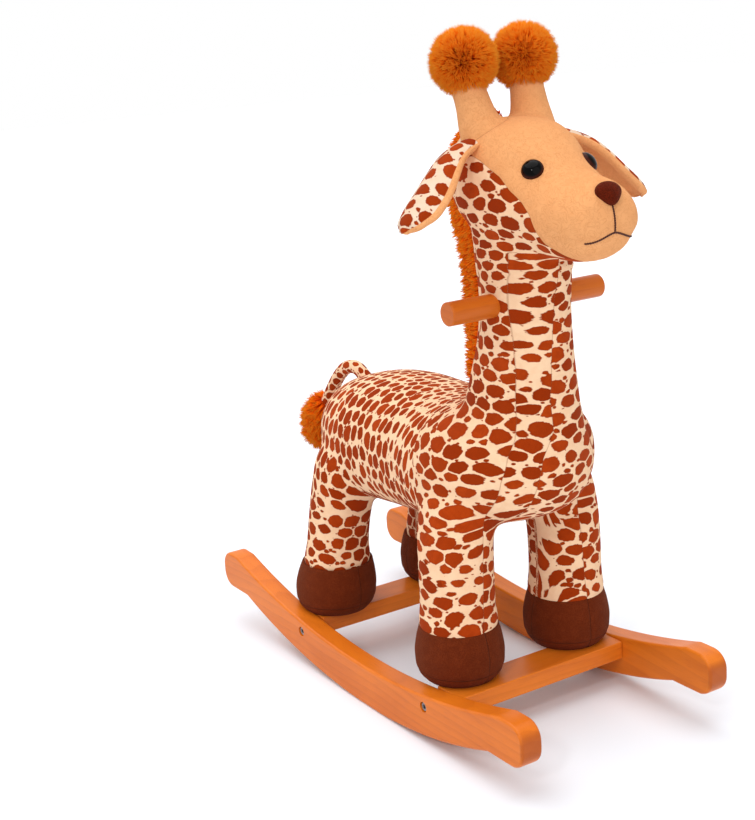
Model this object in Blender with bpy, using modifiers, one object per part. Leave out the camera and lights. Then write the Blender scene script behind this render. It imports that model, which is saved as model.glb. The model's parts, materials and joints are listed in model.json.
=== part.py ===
# Plush rocking giraffe: a sewn and stuffed giraffe over a wooden frame on two rockers.
# The giraffe faces -Y, its left side is +X and the floor is z = 0. Sizes are in metres.
# Its right side is the -X side. Side is -1 for the right and +1 for the left.

import math

import bmesh
import bpy
from mathutils import Matrix, Vector
from mathutils.bvhtree import BVHTree

# Clearances
gap = 0.0003
padding_gap = 0.0004

# Rockers
rocker_thickness = 0.024
rocker_spacing = 0.212
rocker_middle_y = -0.0115
rocker_front_reach = 0.280
rocker_rear_reach = 0.303
rocker_depth = 0.045
runner_low_offset = -0.014
runner_front_radius = 0.645
runner_rear_radius = 0.812
rest_flat = 0.044
rocker_top_radius = 0.89
runner_facet = 0.026
toe_length = 0.055
toe_height = 0.044
toe_corner = 0.018
rocker_top_steps = 12
rocker_edge = 0.0022

# Cross slats between the rockers
slat_width = 0.040
slat_thickness = 0.0195
slat_top_z = 0.0535
front_slat_y = -0.143
rear_slat_y = 0.1195
slat_edge = 0.0015

# Rocker bolts with their cross nuts, and the locating dowels beside them
bolt_radius = 0.003
bolt_length = 0.046
bolt_head_radius = 0.0048
bolt_head_height = 0.0035
bolt_recess = 0.005
cross_nut_radius = 0.005
cross_nut_height = 0.014
cross_nut_inset = 0.021
dowel_radius = 0.004
dowel_depth = 0.012
dowel_offset = 0.0115
bolt_offset = 0.011
bolt_drop = 0.003

# Posts inside the legs
post_radius = 0.011
post_x = 0.0560
front_post_offset = 0.010
rear_post_offset = -0.006

# Board inside the body
board_thickness = 0.018
board_bottom_z = 0.234
board_half_width = 0.067
board_front_half_width = 0.034
board_front_y = -0.173
board_shoulder_y = -0.142
board_rear_y = 0.128
board_corner = 0.018

# Post inside the neck, with the handle bar through it
neck_post_width = 0.030
neck_post_depth = 0.042
neck_post_top_z = 0.532
neck_y = -0.1495
handle_z = 0.4364
handle_radius = 0.0115
handle_length = 0.184
handle_chamfer = 0.0015

# Wood screws
screw_radius = 0.0028
screw_head_radius = 0.0058
screw_head_height = 0.0034
screw_recess = 0.0045
leg_screw_length = 0.040
board_screw_length = 0.042
neck_screw_length = 0.050
neck_screw_offset = 0.011
handle_screw_radius = 0.002
handle_screw_length = 0.0115
handle_screw_head = 0.004

# Legs and hooves
front_foot = (0.070, -0.1145)
rear_foot = (0.0725, 0.1235)
hoof_top_z = 0.1095
leg_top_z = 0.252

# Horns and pompoms
horn_x = 0.0300
horn_base_y = -0.132
horn_base_z = 0.598
horn_base_radius = 0.0215
pompom_x = 0.0352
pompom_y = -0.1135
pompom_z = 0.662
pompom_radius = 0.032
pompom_seat_share = 0.4

# Ears, each swinging about the seam at its root
ear_root_y = -0.143
ear_root_z = 0.5885
ear_seat = 0.0035
ear_turning_gap = 0.0012
ear_length = 0.112
ear_root_half_width = 0.0125
ear_thickness = 0.0175
ear_root_radius = 0.0055
ear_root_droop = math.radians(15)
ear_tip_droop = math.radians(43)
ear_bend_share = 0.35
ear_bend_steps = 20
ear_sweep = math.radians(7)
ear_twist = math.radians(-7)
ear_twist_share = 0.4
ear_widest_share = 2.3
ear_cup = 0.0075

# Face
eye_x = 0.033
eye_z = 0.568
eye_radius = 0.0105
eye_height = 0.0070
eye_shank_radius = 0.0022
eye_shank_length = 0.013
washer_radius = 0.0085
washer_thickness = 0.0014
washer_depth = 0.0095
nose_z = 0.548
nose_half_width = 0.014
nose_half_height = 0.0115
nose_half_depth = 0.0075

# Mane
mane_half_width = 0.0085
mane_rise = 0.036
mane_root_depth = 0.014

# Tail, wagging about the seam at its root
tail_radius = 0.0078
tail_root_y = 0.150
tail_seat = 0.001
tuft_radius = 0.0195
tuft_length = 0.062
tuft_hang = (0, 0.42, -0.91)

front_post_y = front_slat_y + front_post_offset
rear_post_y = rear_slat_y + rear_post_offset
board_top_z = board_bottom_z + board_thickness
slat_middle_z = slat_top_z - slat_thickness / 2
inner_x = rocker_spacing / 2
outer_x = inner_x + rocker_thickness

# Points round each ring of the stuffed forms, before they are smoothed
body_sides = 10
limb_sides = 8

# Sections of the stuffed forms. Body and head: y, half width, bottom, top, squareness.
torso_sections = [
    (-0.200, 0.022, 0.252, 0.300, 2.3),
    (-0.188, 0.046, 0.234, 0.322, 2.3),
    (-0.164, 0.072, 0.219, 0.334, 2.3),
    (-0.130, 0.090, 0.208, 0.334, 2.3),
    (-0.086, 0.095, 0.198, 0.328, 2.3),
    (-0.032, 0.092, 0.192, 0.322, 2.3),
    (0.020, 0.088, 0.187, 0.323, 2.3),
    (0.068, 0.087, 0.184, 0.323, 2.3),
    (0.106, 0.083, 0.188, 0.319, 2.3),
    (0.136, 0.071, 0.196, 0.311, 2.3),
    (0.162, 0.050, 0.209, 0.298, 2.3),
    (0.178, 0.024, 0.226, 0.276, 2.3),
]
head_sections = [
    (-0.080, 0.016, 0.548, 0.572, 2.0),
    (-0.088, 0.035, 0.522, 0.591, 2.1),
    (-0.110, 0.053, 0.505, 0.605, 2.4),
    (-0.142, 0.060, 0.495, 0.610, 2.7),
    (-0.176, 0.0555, 0.489, 0.605, 2.4),
    (-0.206, 0.0485, 0.485, 0.586, 2.1),
    (-0.232, 0.0455, 0.483, 0.566, 2.1),
    (-0.255, 0.0425, 0.485, 0.560, 2.1),
    (-0.2715, 0.0335, 0.491, 0.550, 2.1),
    (-0.2775, 0.0195, 0.501, 0.536, 2.0),
]
# Neck: z, centre y, half width, half depth.
neck_sections = [
    (0.300, -0.139, 0.060, 0.066),
    (0.345, -0.142, 0.052, 0.060),
    (0.395, -0.1475, 0.0430, 0.0520),
    (0.441, -0.1495, 0.0408, 0.0492),
    (0.485, -0.149, 0.044, 0.053),
    (0.530, -0.146, 0.046, 0.052),
]
# Legs: share of the height, x, y, radius.
leg_sections = {
    "front": [
        (0.0, 0.0700, -0.1145, 0.0400),
        (0.14, 0.0700, -0.1145, 0.0385),
        (0.40, 0.0697, -0.1143, 0.0383),
        (0.70, 0.0675, -0.1125, 0.0385),
        (0.93, 0.0630, -0.1110, 0.0350),
        (1.0, 0.0610, -0.1110, 0.0170),
    ],
    "rear": [
        (0.0, 0.0700, 0.1200, 0.0375),
        (0.14, 0.0692, 0.1180, 0.0355),
        (0.40, 0.0670, 0.1120, 0.0355),
        (0.70, 0.0625, 0.1030, 0.0375),
        (0.93, 0.0580, 0.0975, 0.0350),
        (1.0, 0.0570, 0.0970, 0.0170),
    ],
}
# Hooves: share of the height, radius.
hoof_sections = [
    (0.0, 0.0365),
    (0.10, 0.0415),
    (0.42, 0.0458),
    (0.76, 0.0438),
    (1.0, 0.0402),
]
# Mane: y of the skin behind the head and neck, z, and the share of the full rise.
mane_spine = [
    (-0.108, 0.605, 0.45),
    (-0.088, 0.593, 0.95),
    (-0.081, 0.552, 1.20),
    (-0.095, 0.495, 1.20),
    (-0.100, 0.440, 1.05),
    (-0.095, 0.390, 0.90),
    (-0.077, 0.342, 0.35),
]
# Tail: offsets from its root in y and z.
tail_path = [
    (0.000, 0.000),
    (0.013, 0.0065),
    (0.027, 0.0070),
    (0.042, 0.0020),
    (0.057, -0.0095),
    (0.071, -0.0245),
    (0.083, -0.0395),
    (0.091, -0.0510),
]
# Rings of the tail's round root, by their angle from its middle in degrees.
tail_root_angles = (-75, -50, -25)
# Tuft: share of its length from the end of the tail, share of its radius.
tuft_sections = [
    (-0.06, 0.35),
    (0.05, 0.76),
    (0.24, 0.95),
    (0.46, 1.0),
    (0.68, 0.92),
    (0.88, 0.62),
    (0.98, 0.25),
]
# Horns: share of the way from the base to the pompom, share of the base radius.
horn_sections = [
    (-0.35, 1.05),
    (0.0, 1.03),
    (0.45, 0.85),
    (1.0, 0.74),
]
# Ears: share of the length, share of the root width, of the thickness (of the root's in the first
# three, which form the half roll) and of the cup.
ear_root_sections = [
    (-0.046, 0.45, 0.3, 0),
    (-0.033, 0.85, 0.8, 0),
    (0.0, 1.0, 1.0, 0),
]
ear_leaf_sections = [
    (0.12, 1.20, 0.78, 0.15),
    (0.35, 1.90, 1.0, 0.7),
    (0.62, ear_widest_share, 1.0, 1.0),
    (0.86, 1.95, 0.9, 0.85),
    (0.96, 1.15, 0.65, 0.6),
    (1.0, 0.5, 0.4, 0.5),
]

side_names = {-1: "right", 1: "left"}


def new_collection(name):
    collection = bpy.data.collections.new(name)
    bpy.context.scene.collection.children.link(collection)
    return collection


for old in list(bpy.data.objects):
    bpy.data.objects.remove(old)
toy = new_collection("rocking_giraffe")
helpers = new_collection("cutters")
helpers.hide_render = True


def linear(red, green, blue):
    parts = []
    for value in (red, green, blue):
        share = value / 255
        parts.append(share / 12.92 if share <= 0.04045 else ((share + 0.055) / 1.055) ** 2.4)
    return (*parts, 1.0)


def surface(name, color, roughness, metallic=0.0):
    made = bpy.data.materials.new(name)
    made.use_nodes = True
    shader = made.node_tree.nodes["Principled BSDF"]
    shader.inputs["Base Color"].default_value = color
    shader.inputs["Roughness"].default_value = roughness
    shader.inputs["Metallic"].default_value = metallic
    made.diffuse_color = color
    return made


stained_wood = surface("stained_wood", linear(212, 118, 52), 0.38)
raw_wood = surface("raw_wood", linear(214, 182, 138), 0.7)
steel = surface("steel", linear(150, 150, 152), 0.3, 1.0)
spotted_plush = surface("spotted_plush", linear(226, 150, 98), 0.95)
tan_plush = surface("tan_plush", linear(236, 176, 118), 0.95)
hoof_plush = surface("hoof_plush", linear(104, 50, 32), 0.95)
orange_fur = surface("orange_fur", linear(222, 106, 20), 0.95)
nose_plush = surface("nose_plush", linear(92, 34, 18), 0.8)
black_plastic = surface("black_plastic", linear(14, 10, 9), 0.08)
clear_plastic = surface("washer_plastic", linear(226, 226, 220), 0.5)


def place(obj, material, smooth=False):
    for user in list(obj.users_collection):
        user.objects.unlink(obj)
    toy.objects.link(obj)
    obj.data.materials.clear()
    obj.data.materials.append(material)
    if smooth:
        obj.data.shade_smooth()
        obj.data.set_sharp_from_angle(angle=math.radians(40))
    return obj


def as_cutter(obj):
    for user in list(obj.users_collection):
        user.objects.unlink(obj)
    helpers.objects.link(obj)
    obj.hide_render = True
    obj.display_type = "WIRE"
    return obj


def mesh_object(name, bm):
    bmesh.ops.recalc_face_normals(bm, faces=bm.faces)
    mesh = bpy.data.meshes.new(name)
    bm.to_mesh(mesh)
    bm.free()
    obj = bpy.data.objects.new(name, mesh)
    bpy.context.scene.collection.objects.link(obj)
    return obj


def turn_to(direction):
    return Vector(direction).to_track_quat("Z", "Y").to_matrix().to_4x4()


def cylinder(name, radius, start, end, sides=20):
    start = Vector(start)
    end = Vector(end)
    bm = bmesh.new()
    bmesh.ops.create_cone(
        bm, cap_ends=True, segments=sides, radius1=radius, radius2=radius, depth=(end - start).length
    )
    bmesh.ops.transform(bm, matrix=turn_to(end - start), verts=bm.verts)
    bmesh.ops.translate(bm, vec=(start + end) / 2, verts=bm.verts)
    return mesh_object(name, bm)


def box(name, low, high):
    bm = bmesh.new()
    bmesh.ops.create_cube(bm, size=1.0)
    low = Vector(low)
    high = Vector(high)
    bmesh.ops.scale(bm, vec=high - low, verts=bm.verts)
    bmesh.ops.translate(bm, vec=(low + high) / 2, verts=bm.verts)
    return mesh_object(name, bm)


def bevel(obj, width, segments=2, angle=40):
    edge = obj.modifiers.new("edges", "BEVEL")
    edge.width = width
    edge.segments = segments
    edge.limit_method = "ANGLE"
    edge.angle_limit = math.radians(angle)
    return obj


def cut(obj, cutter):
    made = obj.modifiers.new("cut " + cutter.name, "BOOLEAN")
    made.operation = "DIFFERENCE"
    made.solver = "EXACT"
    made.object = cutter


def evaluated_copy(obj, name):
    bpy.context.view_layer.update()
    graph = bpy.context.evaluated_depsgraph_get()
    mesh = bpy.data.meshes.new_from_object(obj.evaluated_get(graph))
    mesh.transform(obj.matrix_world)
    copy = bpy.data.objects.new(name, mesh)
    bpy.context.scene.collection.objects.link(copy)
    return copy


def grown(obj, amount=padding_gap):
    copy = evaluated_copy(obj, obj.name + "_space")
    normals = [vertex.normal.copy() for vertex in copy.data.vertices]
    for vertex, normal in zip(copy.data.vertices, normals):
        vertex.co += normal * amount
    return as_cutter(copy)


# Wooden frame


def rounded_outline(corners, steps=5):
    # A corner with a radius becomes an arc.
    points = []
    for index, (corner, radius) in enumerate(corners):
        corner = Vector(corner)
        if radius == 0:
            points.append(corner)
            continue
        before = Vector(corners[index - 1][0]) - corner
        after = Vector(corners[(index + 1) % len(corners)][0]) - corner
        before.normalize()
        after.normalize()
        half = before.angle(after) / 2
        reach = radius / math.tan(half)
        centre = corner + (before + after).normalized() * radius / math.sin(half)
        first = corner + before * reach - centre
        last = corner + after * reach - centre
        sweep = first.angle_signed(last)
        for step in range(steps + 1):
            points.append(centre + Matrix.Rotation(-sweep * step / steps, 2) @ first)
    return points


def runner_rise(distance, radius):
    return radius - math.sqrt(radius**2 - distance**2)


def runner_z(offset):
    # The underside rises from the flat on which the toy rests, on one radius in front and one behind.
    distance = offset - runner_low_offset
    radius = runner_front_radius if distance < 0 else runner_rear_radius
    return runner_rise(distance, radius) - runner_rise(rest_flat / 2, radius)


def rocker_top_z(offset):
    return rocker_depth + rocker_top_radius - math.sqrt(rocker_top_radius**2 - offset**2)


def runner_points(reach):
    # Facet ends from the flat out to the reach, on the side of the reach's sign.
    side = math.copysign(1, reach)
    points = []
    distance = rest_flat / 2
    while distance < abs(reach - runner_low_offset):
        points.append(runner_low_offset + side * distance)
        distance += runner_facet
    return points + [reach]


def rocker_outline():
    # In y and z: along the underside from the front toe, then back over the top.
    front = runner_points(toe_length - rocker_front_reach)
    rear = runner_points(rocker_rear_reach - toe_length)
    front_toe = runner_z(front[-1])
    rear_toe = runner_z(rear[-1])
    corners = [((-rocker_front_reach, front_toe), toe_corner)]
    corners += [((offset, runner_z(offset)), 0) for offset in front[::-1] + rear]
    corners.append(((rocker_rear_reach, rear_toe), toe_corner))
    corners.append(((rocker_rear_reach, rear_toe + toe_height), toe_corner))
    top_end = rocker_rear_reach - 2 * toe_corner
    top_start = -rocker_front_reach + 2 * toe_corner
    for step in range(rocker_top_steps + 1):
        offset = top_end + (top_start - top_end) * step / rocker_top_steps
        corners.append(((offset, rocker_top_z(offset)), 0))
    corners.append(((-rocker_front_reach, front_toe + toe_height), toe_corner))
    return rounded_outline(corners)


def make_rocker(side):
    bm = bmesh.new()
    outline = rocker_outline()
    verts = [bm.verts.new((0, point[0] + rocker_middle_y, point[1])) for point in outline]
    face = bm.faces.new(verts)
    grown_face = bmesh.ops.extrude_face_region(bm, geom=[face])
    moved = [item for item in grown_face["geom"] if isinstance(item, bmesh.types.BMVert)]
    bmesh.ops.translate(bm, vec=(rocker_thickness, 0, 0), verts=moved)
    rocker = mesh_object("rocker_" + side_names[side], bm)
    for vertex in rocker.data.vertices:
        vertex.co.x += inner_x if side > 0 else -outer_x
    bevel(rocker, rocker_edge, segments=1)
    return place(rocker, stained_wood, smooth=True)


def make_slat(name, middle_y):
    half = inner_x - gap
    slat = box(
        name,
        (-half, middle_y - slat_width / 2, slat_top_z - slat_thickness),
        (half, middle_y + slat_width / 2, slat_top_z),
    )
    bevel(slat, slat_edge, segments=1)
    return place(slat, stained_wood)


def make_fastener(name, head_radius, head_height, shank_radius, length, sides=8):
    # Head on top at z = 0 with a hexagon socket in it, shank running down.
    profile = [
        (0.0, 0.0),
        (head_radius * 0.85, 0.0),
        (head_radius, -head_height * 0.25),
        (head_radius, -head_height),
        (shank_radius, -head_height),
        (shank_radius, -head_height - length + shank_radius * 0.5),
        (shank_radius * 0.5, -head_height - length),
        (0.0, -head_height - length),
    ]
    bm = bmesh.new()
    verts = [bm.verts.new((radius, 0, z)) for radius, z in profile]
    for first, second in zip(verts, verts[1:]):
        bm.edges.new((first, second))
    bmesh.ops.spin(
        bm, geom=bm.verts[:] + bm.edges[:], cent=(0, 0, 0), axis=(0, 0, 1),
        angle=math.tau, steps=sides, use_merge=True,
    )
    bmesh.ops.remove_doubles(bm, verts=bm.verts, dist=0.00001)
    whole = mesh_object(name + "_whole", bm)
    socket_depth = head_height * 0.6
    socket = cylinder(
        name + "_socket", head_radius * 0.5, (0, 0, -socket_depth), (0, 0, head_height), sides=6
    )
    cut(whole, as_cutter(socket))
    finished = evaluated_copy(whole, name)
    mesh = finished.data
    bpy.data.objects.remove(finished)
    bpy.data.objects.remove(whole)
    return mesh


def set_fastener(name, mesh, head_point, into):
    # Head face at head_point, shank running in the direction into.
    obj = bpy.data.objects.new(name, mesh)
    bpy.context.scene.collection.objects.link(obj)
    obj.matrix_world = Matrix.Translation(head_point) @ turn_to(-Vector(into))
    return place(obj, steel, smooth=True)


def drill(targets, name, radius, start, end, sides=8):
    hole = as_cutter(cylinder(name + "_hole", radius, start, end, sides))
    for target in targets:
        cut(target, hole)


rockers = {side: make_rocker(side) for side in (-1, 1)}
slats = {
    "front": make_slat("front_slat", front_slat_y),
    "rear": make_slat("rear_slat", rear_slat_y),
}
bolt_mesh = make_fastener("rocker_bolt", bolt_head_radius, bolt_head_height, bolt_radius, bolt_length)
nut_x = inner_x - cross_nut_inset


def join_slat_end(row, side):
    label = row + "_" + side_names[side]
    slat = slats[row]
    inward = 1 if row == "front" else -1
    slat_y = front_slat_y if row == "front" else rear_slat_y
    y = slat_y + inward * bolt_offset
    z = slat_middle_z - bolt_drop
    head_x = outer_x - bolt_recess + bolt_head_height
    set_fastener("rocker_bolt_" + label, bolt_mesh, (side * head_x, y, z), (-side, 0, 0))
    seat_x = outer_x - bolt_recess - gap
    tip_x = outer_x - bolt_recess - bolt_length - 0.002
    drill([rockers[side]], "recess_" + label, bolt_head_radius + 2 * gap,
          (side * seat_x, y, z), (side * (outer_x + 0.01), y, z))
    drill([rockers[side], slat], "bolt_" + label, bolt_radius + gap,
          (side * tip_x, y, z), (side * (outer_x + 0.01), y, z))

    nut_bottom = slat_top_z - slat_thickness
    nut_top = nut_bottom + cross_nut_height
    nut = cylinder("cross_nut_" + label, cross_nut_radius,
                   (side * nut_x, y, nut_bottom), (side * nut_x, y, nut_top), sides=12)
    drill([nut], "nut_" + label, bolt_radius + gap,
          (side * (nut_x - 0.01), y, z), (side * (nut_x + 0.01), y, z))
    place(nut, steel, smooth=True)
    drill([slat], "nut_pocket_" + label, cross_nut_radius + gap,
          (side * nut_x, y, nut_bottom - 0.01), (side * nut_x, y, nut_top + gap), sides=12)

    dowel_y = slat_y - inward * dowel_offset
    low_x = inner_x - dowel_depth
    high_x = inner_x + dowel_depth
    dowel = cylinder("slat_dowel_" + label, dowel_radius,
                     (side * low_x, dowel_y, z), (side * high_x, dowel_y, z), sides=12)
    place(dowel, raw_wood, smooth=True)
    drill([rockers[side], slat], "dowel_" + label, dowel_radius + gap,
          (side * (low_x - gap), dowel_y, z), (side * (high_x + gap), dowel_y, z))


for side in (-1, 1):
    join_slat_end("front", side)
    join_slat_end("rear", side)


def make_board():
    half = [
        (board_front_half_width, board_front_y),
        (board_half_width, board_shoulder_y),
        (board_half_width, board_rear_y),
    ]
    corners = [(point, board_corner) for point in half]
    corners += [((-x, y), board_corner) for x, y in reversed(half)]
    return flat_board("body_board", rounded_outline(corners, steps=3), board_bottom_z, board_top_z)


def flat_board(name, outline, bottom, top):
    bm = bmesh.new()
    face = bm.faces.new([bm.verts.new((point[0], point[1], bottom)) for point in outline])
    raised = bmesh.ops.extrude_face_region(bm, geom=[face])
    moved = [item for item in raised["geom"] if isinstance(item, bmesh.types.BMVert)]
    bmesh.ops.translate(bm, vec=(0, 0, top - bottom), verts=moved)
    return mesh_object(name, bm)


board = make_board()
board_space = grown(board)
place(board, raw_wood)
leg_screw_mesh = make_fastener(
    "leg_screw", screw_head_radius, screw_head_height, screw_radius, leg_screw_length
)
board_screw_mesh = make_fastener(
    "board_screw", screw_head_radius, screw_head_height, screw_radius, board_screw_length
)
post_spaces = {}


def make_leg_post(row, side):
    # From slat to board, screwed from below through the slat and from above through the board.
    label = row + "_" + side_names[side]
    x = side * post_x
    y = front_post_y if row == "front" else rear_post_y
    bottom = slat_top_z + gap
    top = board_bottom_z - gap
    post = cylinder("leg_post_" + label, post_radius, (x, y, bottom), (x, y, top), sides=12)
    place(post, raw_wood, smooth=True)
    post_spaces[label] = as_cutter(cylinder(
        "post_space_" + label, post_radius + padding_gap, (x, y, bottom - 0.02), (x, y, top + 0.002),
        sides=12,
    ))
    slat_bottom = slat_top_z - slat_thickness
    recess_top = slat_bottom + screw_recess
    set_fastener("leg_screw_" + label, leg_screw_mesh,
                 (x, y, recess_top - gap - screw_head_height), (0, 0, 1))
    drill([slats[row]], "leg_recess_" + label, screw_head_radius + 2 * gap,
          (x, y, slat_bottom - 0.01), (x, y, recess_top))
    drill([slats[row], post], "leg_screw_" + label, screw_radius + gap,
          (x, y, slat_bottom - 0.01), (x, y, recess_top + leg_screw_length + gap))
    recess_floor = board_top_z - screw_recess
    set_fastener("board_screw_" + label, board_screw_mesh,
                 (x, y, recess_floor + gap + screw_head_height), (0, 0, -1))
    drill([board], "board_recess_" + label, screw_head_radius + 2 * gap,
          (x, y, recess_floor), (x, y, board_top_z + 0.01))
    drill([board, post], "board_screw_" + label, screw_radius + gap,
          (x, y, recess_floor - board_screw_length - gap), (x, y, board_top_z + 0.01))


for side in (-1, 1):
    make_leg_post("front", side)
    make_leg_post("rear", side)


def neck_post_box(name, margin, bottom, top):
    half_x = neck_post_width / 2 + margin
    half_y = neck_post_depth / 2 + margin
    return box(name, (-half_x, neck_y - half_y, bottom), (half_x, neck_y + half_y, top))


neck_post = neck_post_box("neck_post", 0.0, board_top_z + gap, neck_post_top_z)
place(neck_post, raw_wood)
neck_post_space = as_cutter(
    neck_post_box("neck_post_space", padding_gap, board_top_z - 0.003, neck_post_top_z + padding_gap)
)
neck_screw_mesh = make_fastener(
    "neck_screw", screw_head_radius, screw_head_height, screw_radius, neck_screw_length
)
for label, offset in (("front", -neck_screw_offset), ("rear", neck_screw_offset)):
    recess_top = board_bottom_z + screw_recess
    y = neck_y + offset
    set_fastener("neck_screw_" + label, neck_screw_mesh,
                 (0, y, recess_top - gap - screw_head_height), (0, 0, 1))
    drill([board], "neck_recess_" + label, screw_head_radius + 2 * gap,
          (0, y, board_bottom_z - 0.01), (0, y, recess_top))
    drill([board, neck_post], "neck_screw_" + label, screw_radius + gap,
          (0, y, board_bottom_z - 0.01), (0, y, recess_top + neck_screw_length + gap))

# Handle bar, locked in the neck post by one screw from behind
handle = cylinder("handle_bar", handle_radius, (-handle_length / 2, neck_y, handle_z),
                  (handle_length / 2, neck_y, handle_z))
bevel(handle, handle_chamfer, segments=1, angle=60)
place(handle, stained_wood, smooth=True)
handle_space = as_cutter(cylinder(
    "handle_space", handle_radius + padding_gap, (-handle_length / 2, neck_y, handle_z),
    (handle_length / 2, neck_y, handle_z)
))
cut(neck_post, handle_space)
post_rear_y = neck_y + neck_post_depth / 2
handle_screw_mesh = make_fastener(
    "handle_screw", handle_screw_head, screw_head_height, handle_screw_radius, handle_screw_length
)
handle_recess_y = post_rear_y - screw_recess
set_fastener("handle_screw", handle_screw_mesh,
             (0, handle_recess_y + gap + screw_head_height, handle_z), (0, -1, 0))
drill([neck_post], "handle_recess", handle_screw_head + 2 * gap,
      (0, handle_recess_y, handle_z), (0, post_rear_y + 0.01, handle_z))
drill([neck_post, handle], "handle_screw", handle_screw_radius + gap,
      (0, handle_recess_y - handle_screw_length - gap, handle_z), (0, post_rear_y + 0.01, handle_z))

# Stuffed forms, each a cage of rings smoothed by subdivision


def swell(count):
    # Subdivision draws a ring of this many points in by this share, so the ring is made larger.
    return 6 / (4 + 2 * math.cos(math.tau / count))


def ring(centre, across, up, half_across, half_up, count, power=2.0, smoothed=True):
    # Oval ring. A power above 2 makes the oval squarer.
    scale = swell(count) if smoothed else 1
    points = []
    for index in range(count):
        angle = math.tau * index / count
        wide = math.cos(angle)
        high = math.sin(angle)
        wide = math.copysign(abs(wide) ** (2 / power), wide)
        high = math.copysign(abs(high) ** (2 / power), high)
        points.append(
            Vector(centre)
            + Vector(across) * (half_across * scale * wide)
            + Vector(up) * (half_up * scale * high)
        )
    return points


def cage(name, rings, flat_start=False, flat_end=False, levels=1):
    # A flat end keeps its sharp rim when the cage is subdivided.
    bm = bmesh.new()
    crease = bm.edges.layers.float.new("crease_edge")
    rows = [[bm.verts.new(point) for point in points] for points in rings]
    count = len(rows[0])
    for lower, upper in zip(rows, rows[1:]):
        for index in range(count):
            following = (index + 1) % count
            bm.faces.new((lower[index], lower[following], upper[following], upper[index]))
    start = bm.faces.new(rows[0][::-1])
    end = bm.faces.new(rows[-1])
    for face, flat in ((start, flat_start), (end, flat_end)):
        if flat:
            for edge in face.edges:
                edge[crease] = 1.0
    form = mesh_object(name, bm)
    if levels:
        smoother = form.modifiers.new("smooth", "SUBSURF")
        smoother.levels = levels
        smoother.render_levels = levels
    form.modifiers.new("triangles", "TRIANGULATE").quad_method = "FIXED"
    return form


def upright_rings(sections, count):
    return [
        ring((0, y, (low + high) / 2), (1, 0, 0), (0, 0, 1), half, (high - low) / 2, count, power)
        for y, half, low, high, power in sections
    ]


def standing_rings(sections, count):
    # Level sections: x, y, z, half width, half depth.
    return [ring((x, y, z), (1, 0, 0), (0, 1, 0), half, depth, count)
            for x, y, z, half, depth in sections]


def skin_at(form_space, origin, direction):
    # Point and outward normal where a line first meets a stuffed form.
    mesh = form_space.data
    tree = BVHTree.FromPolygons([v.co for v in mesh.vertices], [p.vertices for p in mesh.polygons])
    point, normal, _, _ = tree.ray_cast(Vector(origin), Vector(direction))
    return point, normal


torso = cage("torso", upright_rings(torso_sections, body_sides))
head = cage("head", upright_rings(head_sections, body_sides))
neck = cage("neck", standing_rings([(0, y, z, a, b) for z, y, a, b in neck_sections], body_sides))
torso_space = grown(torso)
head_space = grown(head)
neck_space = grown(neck)

cut(torso, board_space)
cut(torso, neck_post_space)
for space in post_spaces.values():
    cut(torso, space)
cut(neck, torso_space)
cut(neck, head_space)
cut(neck, neck_post_space)
cut(neck, handle_space)
cut(head, neck_post_space)
place(torso, spotted_plush, smooth=True)
place(neck, spotted_plush, smooth=True)
place(head, tan_plush, smooth=True)


def make_leg(row, side):
    label = row + "_" + side_names[side]
    bottom = hoof_top_z + gap
    height = leg_top_z - bottom
    rings = [(side * x, y, bottom + height * share, radius, radius)
             for share, x, y, radius in leg_sections[row]]
    leg = cage("leg_" + label, standing_rings(rings, limb_sides), flat_start=True)
    cut(leg, post_spaces[label])
    cut(leg, torso_space)
    place(leg, spotted_plush, smooth=True)

    foot = Vector(front_foot if row == "front" else rear_foot)
    ankle = Vector(leg_sections[row][0][1:3])
    sole = slat_top_z + gap
    rise = hoof_top_z - sole
    rings = []
    for share, radius in hoof_sections:
        centre = foot.lerp(ankle, share**2)
        rings.append((side * centre.x, centre.y, sole + rise * share, radius, radius))
    hoof = cage("hoof_" + label, standing_rings(rings, limb_sides), flat_start=True, flat_end=True)
    cut(hoof, post_spaces[label])
    cut(hoof, rocker_spaces[side])
    place(hoof, hoof_plush, smooth=True)


rocker_spaces = {}
for side in (-1, 1):
    rocker_spaces[side] = grown(rockers[side])
    make_leg("front", side)
    make_leg("rear", side)


def make_horn(side):
    name = side_names[side]
    pompom_centre = Vector((side * pompom_x, pompom_y, pompom_z))
    bm = bmesh.new()
    bmesh.ops.create_uvsphere(bm, u_segments=16, v_segments=10, radius=pompom_radius)
    bmesh.ops.translate(bm, vec=pompom_centre, verts=bm.verts)
    pompom = mesh_object("pompom_" + name, bm)
    pompom_space = grown(pompom)
    place(pompom, orange_fur, smooth=True)
    start = Vector((side * horn_x, horn_base_y, horn_base_z))
    end = pompom_centre - Vector((0, 0, pompom_radius * pompom_seat_share))
    rings = []
    for share, wide in horn_sections:
        centre = start.lerp(end, share)
        radius = horn_base_radius * wide
        rings.append((centre.x, centre.y, centre.z, radius, radius))
    horn = cage("horn_" + name, standing_rings(rings, limb_sides))
    cut(horn, ear_spaces[side])
    cut(horn, head_space)
    cut(horn, pompom_space)
    place(horn, tan_plush, smooth=True)


def ear_droop(share):
    bent = min(max(share, 0) / ear_bend_share, 1)
    return ear_root_droop + (ear_tip_droop - ear_root_droop) * bent


def ear_point(share):
    # Outward and upward distance from the root along the bent middle line of the ear.
    outward = 0
    lift = 0
    length = share * ear_length / ear_bend_steps
    for step in range(ear_bend_steps):
        droop = ear_droop(share * (step + 0.5) / ear_bend_steps)
        outward += math.cos(droop) * length
        lift -= math.sin(droop) * length
    return outward, lift


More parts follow.
